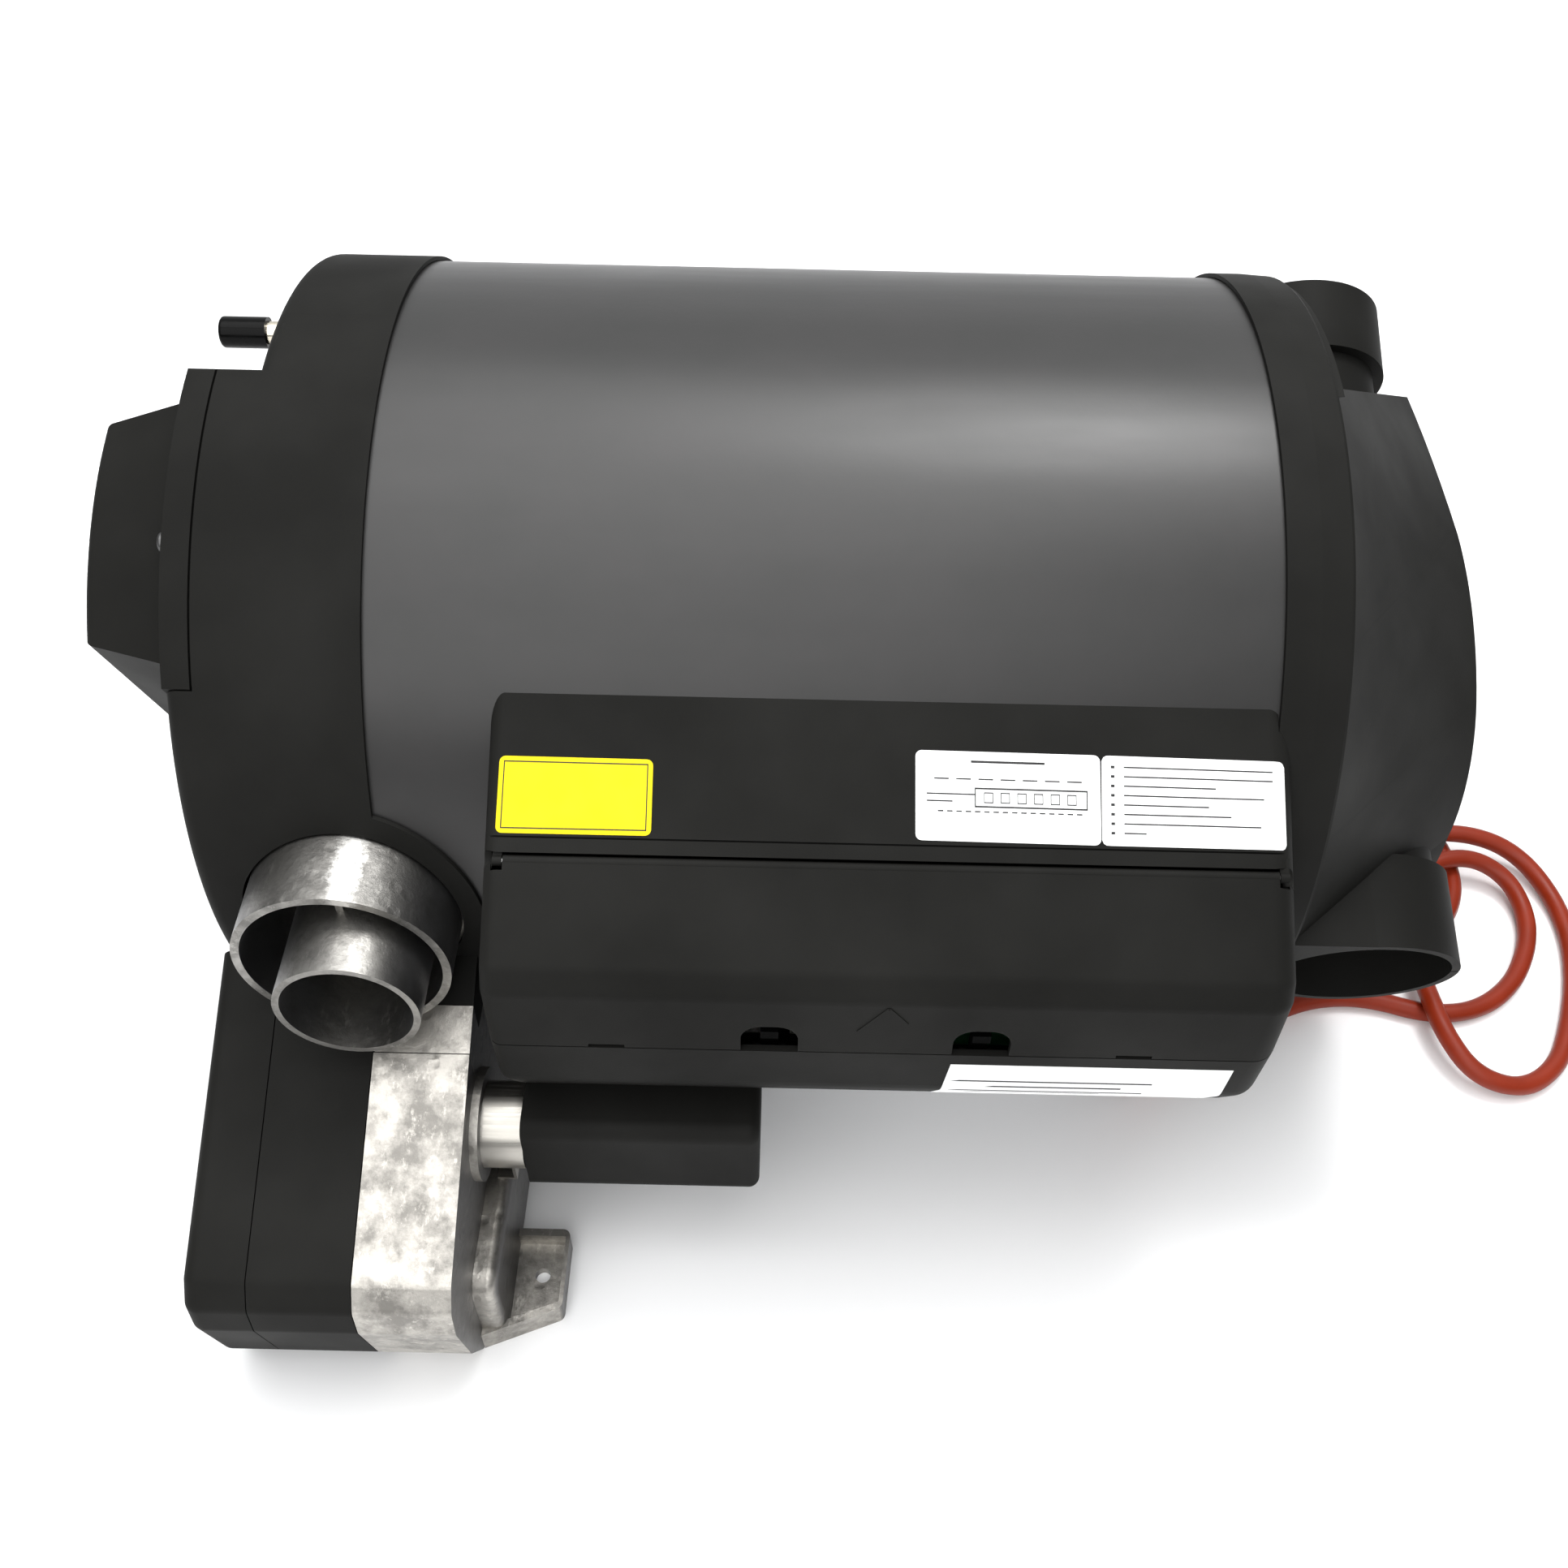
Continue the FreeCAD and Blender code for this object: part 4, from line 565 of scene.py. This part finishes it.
# %% finishes
ALLOY = (0.46, 0.44, 0.405)
PORT_ALLOY = (0.35, 0.34, 0.32)
# Where the port's painted highlight runs: its place along the barrel and the height above which
# it shows.
PORT_CROWN = (at(-145, 0, 0).x, at(0, 0, 34).z)
BLACK = (0.0092, 0.0091, 0.0083)
finishes = {
    "moulded_black": moulded("moulded_black", BLACK, 0.6, dust=0.006, shine=0.07),
    "jacket_grey": coated_sheet("jacket_grey", (0.0225, 0.0225, 0.0218)),
    "cast_alloy": cast_metal("cast_alloy", ALLOY, side_shade=0.68),
    "port_alloy": cast_metal("port_alloy", PORT_ALLOY, pits=0.00012, side_shade=0.35,
                             highlight_line=PORT_CROWN),
    "bright_steel": rolled_metal("bright_steel", (0.50, 0.48, 0.44)),
    "zinc_steel": rolled_metal("zinc_steel", (0.6, 0.61, 0.63), 0.38),
    "plain_steel": rolled_metal("plain_steel", (0.56, 0.56, 0.55)),
    "stainless": rolled_metal("stainless", (0.6, 0.59, 0.57), 0.28),
    "nickel_brass": rolled_metal("nickel_brass", (0.78, 0.72, 0.6), 0.22),
    "cap_rubber": rubber("cap_rubber", (0.002, 0.002, 0.002), 0.14, 0.08),
    "grommet_rubber": rubber("grommet_rubber", (0.012, 0.012, 0.012), 0.4),
    "tank_foam": foam("tank_foam", (0.75, 0.72, 0.62)),
    "circuit_board": lacquered_board("circuit_board"),
    "relay_black": moulded("relay_black", (0.012, 0.012, 0.014), 0.36),
    "capacitor_sleeve": moulded("capacitor_sleeve", (0.02, 0.03, 0.08), 0.25, SHARP_GRAIN),
    "socket_white": moulded("socket_white", (0.68, 0.66, 0.6), 0.4),
    "terminal_green": moulded("terminal_green", (0.03, 0.2, 0.07), 0.35),
    "fuse_red": moulded("fuse_red", (0.55, 0.03, 0.02), 0.15, SHARP_GRAIN),
    "fan_grey": moulded("fan_grey", (0.06, 0.06, 0.062), 0.45),
    "cable_silicone": rubber("cable_silicone", (0.175, 0.0155, 0.0030), 0.34, 0.25),
    "ferrule": rolled_metal("ferrule", (0.75, 0.74, 0.72), 0.25),
    "dark_screw": rolled_metal("dark_screw", (0.12, 0.12, 0.12), 0.35),
}
slot_of = {part["node"]: part["material_slot"] for part in frame["record"]["subparts"]}
for label, kept in frame["nodes"].items():
    kept.data.materials.clear()
    kept.data.materials.append(finishes[slot_of[label]])
lead.data.materials.append(finishes["cable_silicone"])
print(len(slot_of), "nodes finished")

# %% [markdown]
# The latches stand deep in the thumb windows, where almost no light reaches them. They are the
# same plastic in a darker black: painted shade.

# %% latches
latch_painted_shade = moulded("latch_painted_shade", (0.0015, 0.0015, 0.0015), 0.6, dust=0.0, shine=0.02)
LATCHES = ("cover_latch_left", "cover_latch_right")
for label in LATCHES:
    frame["nodes"][label].data.materials[0] = latch_painted_shade
print(len(LATCHES), "latches darkened")

# %% [markdown]
# Four plain stickers: a yellow one and two white ones on the housing's slope, and a white one
# round the tray's lower front. Their papers and ink are smooth and even, apart from a little
# unevenness in their shine.

# %% papers and ink
PRINTED_SHINE = 0.2
SHINE_SCALE = 120.0
SHINE_SWING = 0.06


def printed(name, colour, rough=0.5):
    """A smooth even finish with a little unevenness in its shine."""
    made, tree, surface = new_material(name)
    surface.inputs["Specular IOR Level"].default_value = PRINTED_SHINE
    surface.inputs["Base Color"].default_value = (*colour, 1.0)
    dress(tree, surface, rough=spread(tree, noise(tree, SHINE_SCALE), 0.3, 0.7,
                                      rough - SHINE_SWING, rough + SHINE_SWING))
    return made


paper_white = printed("paper_white", (0.92, 0.92, 0.92))
paper_yellow = printed("paper_yellow", (0.80, 0.62, 0.001))
ink_dark = printed("ink_dark", (0.03, 0.03, 0.03), 0.6)
print("papers and ink mixed")

# %% [markdown]
# A sticker's corners are pixels of the photograph. The camera's line through each is followed
# until it meets the moulding, which puts the sticker where the photograph shows it without a
# measure of its own.

# %% finding places on the moulding
def skin(label):
    """A tree of a node's faces, for finding where a line meets it."""
    return BVHTree.FromObject(frame["nodes"][label], bpy.context.evaluated_depsgraph_get())


def seen_on(tree, across, down):
    """Where the camera sees a pixel of the photograph on a skin, and which way it faces."""
    spot, facing, _, _ = tree.ray_cast(EYE, sight(across, down))
    return spot, facing


def meeting(across, down, spot, facing):
    """Where the camera's line through a pixel meets the plane of a spot."""
    line = sight(across, down)
    return EYE + line * ((spot - EYE).dot(facing) / line.dot(facing))


def patch(corners, over, down):
    """A spot inside four corners: from the first to the second over, to the fourth down."""
    upper = corners[0].lerp(corners[1], over)
    lower = corners[3].lerp(corners[2], over)
    return upper.lerp(lower, down)


tray_skin = skin("electronics_tray")
cover_skin = skin("service_cover")
print("skins of the tray and the cover")

# %% [markdown]
# Every sheet starts as a plane or a grid, has its corners or its mesh laid in place, and is then
# given its thickness outwards by a modifier that is applied.

# %% sheets
def flat_sheet(name, corners):
    """A plane whose corners are laid at four places, clockwise from the upper left."""
    bpy.ops.object.select_all(action="DESELECT")
    bpy.ops.mesh.primitive_plane_add(size=1, location=(0, 0, 0))
    made = bpy.context.object
    made.name = name
    upper_left, upper_right, lower_right, lower_left = corners
    places = (lower_left, lower_right, upper_left, upper_right)
    for vertex, place in zip(made.data.vertices, places):
        vertex.co = place
    return made


def grid_sheet(name, columns, rows):
    """A flat grid one metre wide, ready to be laid on a moulding."""
    bpy.ops.object.select_all(action="DESELECT")
    bpy.ops.mesh.primitive_grid_add(x_subdivisions=columns, y_subdivisions=rows, size=1)
    made = bpy.context.object
    made.name = name
    return made


def look(made, facing):
    """Turns a sheet over if it looks away from the given direction."""
    if made.data.polygons[0].normal.dot(facing) < 0:
        made.data.flip_normals()


def thickened(made, thick, material, body):
    """Gives a sheet its thickness outwards, its finish and its body."""
    bpy.ops.object.select_all(action="DESELECT")
    made.select_set(True)
    bpy.context.view_layer.objects.active = made
    bpy.ops.object.modifier_add(type="SOLIDIFY")
    made.modifiers[-1].thickness = thick
    made.modifiers[-1].offset = 1.0
    bpy.ops.object.modifier_apply(modifier=made.modifiers[-1].name)
    made.data.materials.append(material)
    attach(made, body)
    return made


print("helpers: flat and laid sheets")

# %% [markdown]
# Two of the stickers lie on a flat part of the slope, so a plane with beveled corners is enough.
# Printed rules are strips that share one piece, a hair above the card.

# %% cards and printed rules
CARD = 0.00015
CARD_LIFT = 0.00002
CORNER_ROUND = 0.002
CORNER_STEPS = 4
INK = 0.00004
PRINT_LIFT = CARD + 0.00006


def card(name, corners, facing, material, body):
    """A card with rounded corners."""
    made = flat_sheet(name, [corner + facing * CARD_LIFT for corner in corners])
    bpy.ops.object.mode_set(mode="EDIT")
    bpy.ops.mesh.select_all(action="SELECT")
    bpy.ops.mesh.bevel(offset=CORNER_ROUND, segments=CORNER_STEPS, affect="VERTICES")
    bpy.ops.mesh.select_all(action="SELECT")
    bpy.ops.mesh.normals_make_consistent(inside=False)
    bpy.ops.object.mode_set(mode="OBJECT")
    look(made, facing)
    return thickened(made, CARD, material, body)


def bars(name, strips, facing, lift, thick, material, body):
    """Flat four-cornered strips that share one piece, raised off what carries them."""
    made = []
    for strip in strips:
        made.append(flat_sheet(name, [corner + facing * lift for corner in strip]))
        look(made[-1], facing)
    for strip in made:
        strip.select_set(True)
    bpy.context.view_layer.objects.active = made[0]
    bpy.ops.object.join()
    return thickened(made[0], thick, material, body)


def rule(corners, left, right, top, bottom):
    """A printed line's four corners, in parts of the sticker's width and height."""
    return [patch(corners, over, down) for over, down in
            ((left, top), (right, top), (right, bottom), (left, bottom))]


def frame_of(corners, left, right, top, bottom, wide, high):
    """Four rules round a rectangle."""
    return [rule(corners, left, right, top, top + high),
            rule(corners, left, right, bottom - high, bottom),
            rule(corners, left, left + wide, top, bottom),
            rule(corners, right - wide, right, top, bottom)]


def sticker(name, pixels, material):
    """Lays a card on the slope where the photograph shows it."""
    found = [seen_on(tray_skin, *pixel) for pixel in pixels]
    corners, facing = [spot for spot, _ in found], found[0][1]
    card(name, corners, facing, material, "root")
    return corners, facing


def print_on(name, strips, facing):
    """Prints rules on a sticker of the slope."""
    return bars(name, strips, facing, PRINT_LIFT, INK, ink_dark, "root")


print("helpers: cards and printed rules")

# %% [markdown]
# The yellow sticker at the slope's left end has a thin dark border.

# %% yellow sticker
YELLOW_PIXELS = ((616, 931), (805, 936), (802, 1030), (610, 1026))
yellow, facing = sticker("yellow_sticker", YELLOW_PIXELS, paper_yellow)
strips = frame_of(yellow, 0.03, 0.97, 0.06, 0.94, 0.007, 0.016)
print_on("yellow_sticker_border", strips, facing)
print("yellow sticker, border of", len(strips), "strips")

# %% [markdown]
# The diagram sticker has a heading line, a long box with six small ones in it, two rows of
# dashes and two lines that lead to the box. Loops draw what repeats.

# %% diagram sticker
DIAGRAM_PIXELS = ((1128, 924), (1355, 931), (1357, 1042), (1128, 1035))
LONG_DASHES, SHORT_DASHES, BOXES = 7, 16, 6
diagram, facing = sticker("diagram_sticker", DIAGRAM_PIXELS, paper_white)
strips = frame_of(diagram, 0.32, 0.93, 0.40, 0.62, 0.006, 0.018)
for step in range(LONG_DASHES):
    strips.append(rule(diagram, 0.1 + 0.12 * step, 0.18 + 0.12 * step, 0.3, 0.315))
for step in range(SHORT_DASHES):
    strips.append(rule(diagram, 0.12 + 0.05 * step, 0.15 + 0.05 * step, 0.66, 0.675))
strips.append(rule(diagram, 0.06, 0.32, 0.47, 0.485))
strips.append(rule(diagram, 0.06, 0.2, 0.55, 0.565))
strips.append(rule(diagram, 0.3, 0.7, 0.1, 0.125))
for step in range(BOXES):
    strips += frame_of(diagram, 0.37 + 0.09 * step, 0.42 + 0.09 * step, 0.45, 0.57, 0.004, 0.012)
print_on("diagram_sticker_rules", strips, facing)
print("diagram sticker,", len(strips), "printed strips")

# %% [markdown]
# The list sticker runs over the slope's rounded right end. A flat card would stand off the
# plastic there, so a grid is pressed onto the moulding instead, with its corners drawn in to a
# round. Its printed lines are flat strips, as on the other stickers.

# %% list sticker
LIST_PIXELS = ((1357, 931), (1583, 939), (1587, 1048), (1358, 1042))
LINE_ENDS = (0.93, 0.93, 0.62, 0.88, 0.58, 0.7, 0.86, 0.24)
FIRST_LINE, LINE_PITCH = 0.11, 0.105
LIST_GRID = (40, 16)
LAID_LIFT = 0.00004
CAST_FROM = 0.01


def laid(name, corners, facing, grid, material):
    """A card pressed onto the moulding, so that it follows a rounded end."""
    made = grid_sheet(name, *grid)
    wide, tall = (corners[1] - corners[0]).length, (corners[3] - corners[0]).length
    for vertex in made.data.vertices:
        across, up = vertex.co.x * wide, vertex.co.y * tall
        past = Vector((abs(across) - wide / 2, abs(up) - tall / 2)) + Vector((CORNER_ROUND,) * 2)
        if min(past) > 0 and past.length > CORNER_ROUND:
            past = past.normalized() * CORNER_ROUND
            across = math.copysign(wide / 2 - CORNER_ROUND + past.x, across)
            up = math.copysign(tall / 2 - CORNER_ROUND + past.y, up)
        flat = patch(corners, across / wide + 0.5, 0.5 - up / tall)
        spot, outward, _, _ = tray_skin.ray_cast(flat + facing * CAST_FROM, -facing)
        vertex.co = spot + outward * LAID_LIFT
    look(made, facing)
    return thickened(made, CARD, material, "root")


listing = [meeting(*pixel, diagram[0], facing) for pixel in LIST_PIXELS]
laid("list_sticker", listing, facing, LIST_GRID, paper_white)
strips = []
for row, end in enumerate(LINE_ENDS):
    down = FIRST_LINE + LINE_PITCH * row
    strips.append(rule(listing, 0.05, 0.07, down, down + 0.03))
    strips.append(rule(listing, 0.12, end, down + 0.006, down + 0.022))
print_on("list_sticker_rules", strips, facing)
print("list sticker,", len(LINE_ENDS), "lines")

# %% [markdown]
# The fourth sticker follows the tray round its lower front edge, and leans a little at its left
# end. Here the card and its rules are all grids laid on the tray, found by lines that come
# straight from the front.

# %% tray sticker
STICKER_TOP, STICKER_FOOT, STICKER_LEFT, STICKER_RIGHT = -4.5, -44.0, 58.0, 153.0
STICKER_LEAN = -3.0
RULES = ((62, 128), (74, 118), (62, 126), (68, 112))
FIRST_RULE, RULE_PITCH, RULE_HEIGHT = -16.0, 4.0, 0.9
IN_FRONT = -260
CARD_GRID, RULE_GRID = (24, 24), (12, 1)


def tray_grid(name, left, right, top, foot, grid, lift, thick, material):
    """A sheet that lies on the tray's rounded front, between places in millimetres."""
    made = grid_sheet(name, *grid)
    for vertex in made.data.vertices:
        over, down = vertex.co.x + 0.5, 0.5 - vertex.co.y
        along = left + (right - left) * over + STICKER_LEAN * down * (1 - over)
        start = at(along, IN_FRONT, top + (foot - top) * down)
        spot, facing, _, _ = tray_skin.ray_cast(start, Vector((0, 1, 0)))
        vertex.co = spot + facing * lift
    look(made, Vector((0, -1, 0)))
    return thickened(made, thick, material, "root")


tray_grid("tray_sticker", STICKER_LEFT, STICKER_RIGHT, STICKER_TOP, STICKER_FOOT, CARD_GRID,
          LAID_LIFT, CARD, paper_white)
for row, (start, end) in enumerate(RULES):
    level = FIRST_RULE - RULE_PITCH * row
    tray_grid(f"tray_sticker_rule_{row + 1}", start, end, level, level - RULE_HEIGHT,
              RULE_GRID, PRINT_LIFT, INK, ink_dark)
print("tray sticker,", len(RULES), "rules")

# %% [markdown]
# A thin raised arrow head above the thumb windows shows which way the cover opens. It is two
# strips of the cover's own plastic, and it swings with the cover.

# %% arrow
ARROW_PIXELS = ((1057, 1271), (1096, 1243), (1118, 1262))
ARROW_HALF_WIDTH = 0.0005
ARROW_RISE = 0.0003
found = [seen_on(cover_skin, *pixel) for pixel in ARROW_PIXELS]
facing = found[1][1]
spots = [spot for spot, _ in found]
strips = []
for first, second in zip(spots, spots[1:]):
    aside = (second - first).normalized().cross(facing) * ARROW_HALF_WIDTH
    strips.append([first - aside, second - aside, second + aside, first + aside])
arrow = bars("open_arrow", strips, facing, 0.0, ARROW_RISE, finishes["moulded_black"],
             body_of(frame["nodes"]["service_cover"])[0])

# %% [markdown]
# The floor is a plain pale surface that reaches past the picture. It is rough and almost white,
# as a roll of studio paper is.

# %% floor
FLOOR_SIZE = 6.0
FLOOR_TONES = ((0.94, 0.94, 0.945), (0.95, 0.95, 0.95))
bpy.ops.mesh.primitive_plane_add(size=FLOOR_SIZE, location=(0, 0, low[2]))
floor = bpy.context.object
floor.name = "studio_floor"
pale, tree, surface = new_material("studio_floor")
surface.inputs["Roughness"].default_value = 0.7
dress(tree, surface, colour=blend_colours(tree, noise(tree, 3.0), *FLOOR_TONES))
floor.data.materials.append(pale)
floor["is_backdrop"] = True
print("floor", FLOOR_SIZE, "m wide")

# %% [markdown]
# The light around the heater is stronger overhead and from behind, as under a big soft tent.
# The background is white wherever the camera sees past the heater, and lights nothing.

# %% surroundings
TENT_TONE = (0.86, 0.87, 0.88, 1)
OVERHEAD = (0.1, 0.95, 0.12, 0.85)
BEHIND = (0.4, 1.0, 0.0, 0.9)
world = bpy.data.worlds.new("studio")
bpy.context.scene.world = world
world.use_nodes = True
tree = world.node_tree
around = tree.nodes["Background"]
around.inputs["Color"].default_value = TENT_TONE
outward = tree.nodes.new("ShaderNodeTexCoord")
split = tree.nodes.new("ShaderNodeSeparateXYZ")
tree.links.new(outward.outputs["Generated"], split.inputs["Vector"])
overhead = spread(tree, split.outputs["Z"], *OVERHEAD)
behind = spread(tree, split.outputs["Y"], *BEHIND)
tree.links.new(reckon(tree, "ADD", overhead, behind), around.inputs["Strength"])
seen = tree.nodes.new("ShaderNodeBackground")
seen.inputs["Color"].default_value = (1, 1, 1, 1)
ray = tree.nodes.new("ShaderNodeLightPath")
either = tree.nodes.new("ShaderNodeMixShader")
tree.links.new(ray.outputs["Is Camera Ray"], either.inputs["Fac"])
tree.links.new(around.outputs["Background"], either.inputs[1])
tree.links.new(seen.outputs["Background"], either.inputs[2])
tree.links.new(either.outputs["Shader"], tree.nodes["World Output"].inputs["Surface"])
print("surroundings lit")

# %% [markdown]
# Three square lights: a small one behind, whose reflection is the long highlight on the barrel,
# a large one above for the soft shadow, and a large one in front that opens the dark sides.

# %% lights
MIDDLE = (0.0, 0.0, 0.12)
LAMPS = (("window", (0.42, 0.62, 2.1), MIDDLE, 0.6, 17),
         ("ceiling", (-0.2, 0.1, 2.3), MIDDLE, 2.2, 48),
         ("front_fill", (-0.5, -1.9, 1.6), (0, -0.4, 0), 2.2, 34))


def softbox(name, place, aim, width, power):
    """A square light that faces the place it is aimed at."""
    bpy.ops.object.light_add(type="AREA", location=place)
    lamp = bpy.context.object
    lamp.name = name
    lamp.data.size = width
    lamp.data.energy = power
    lamp.rotation_euler = (Vector(aim) - Vector(place)).to_track_quat("-Z", "Y").to_euler()


for lamp in LAMPS:
    softbox(*lamp)
bpy.context.scene.view_settings.view_transform = "Standard"
print(len(LAMPS), "lights")

# %% [markdown]
# The sizes are measured once more at the end.

# %% finish
low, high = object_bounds()
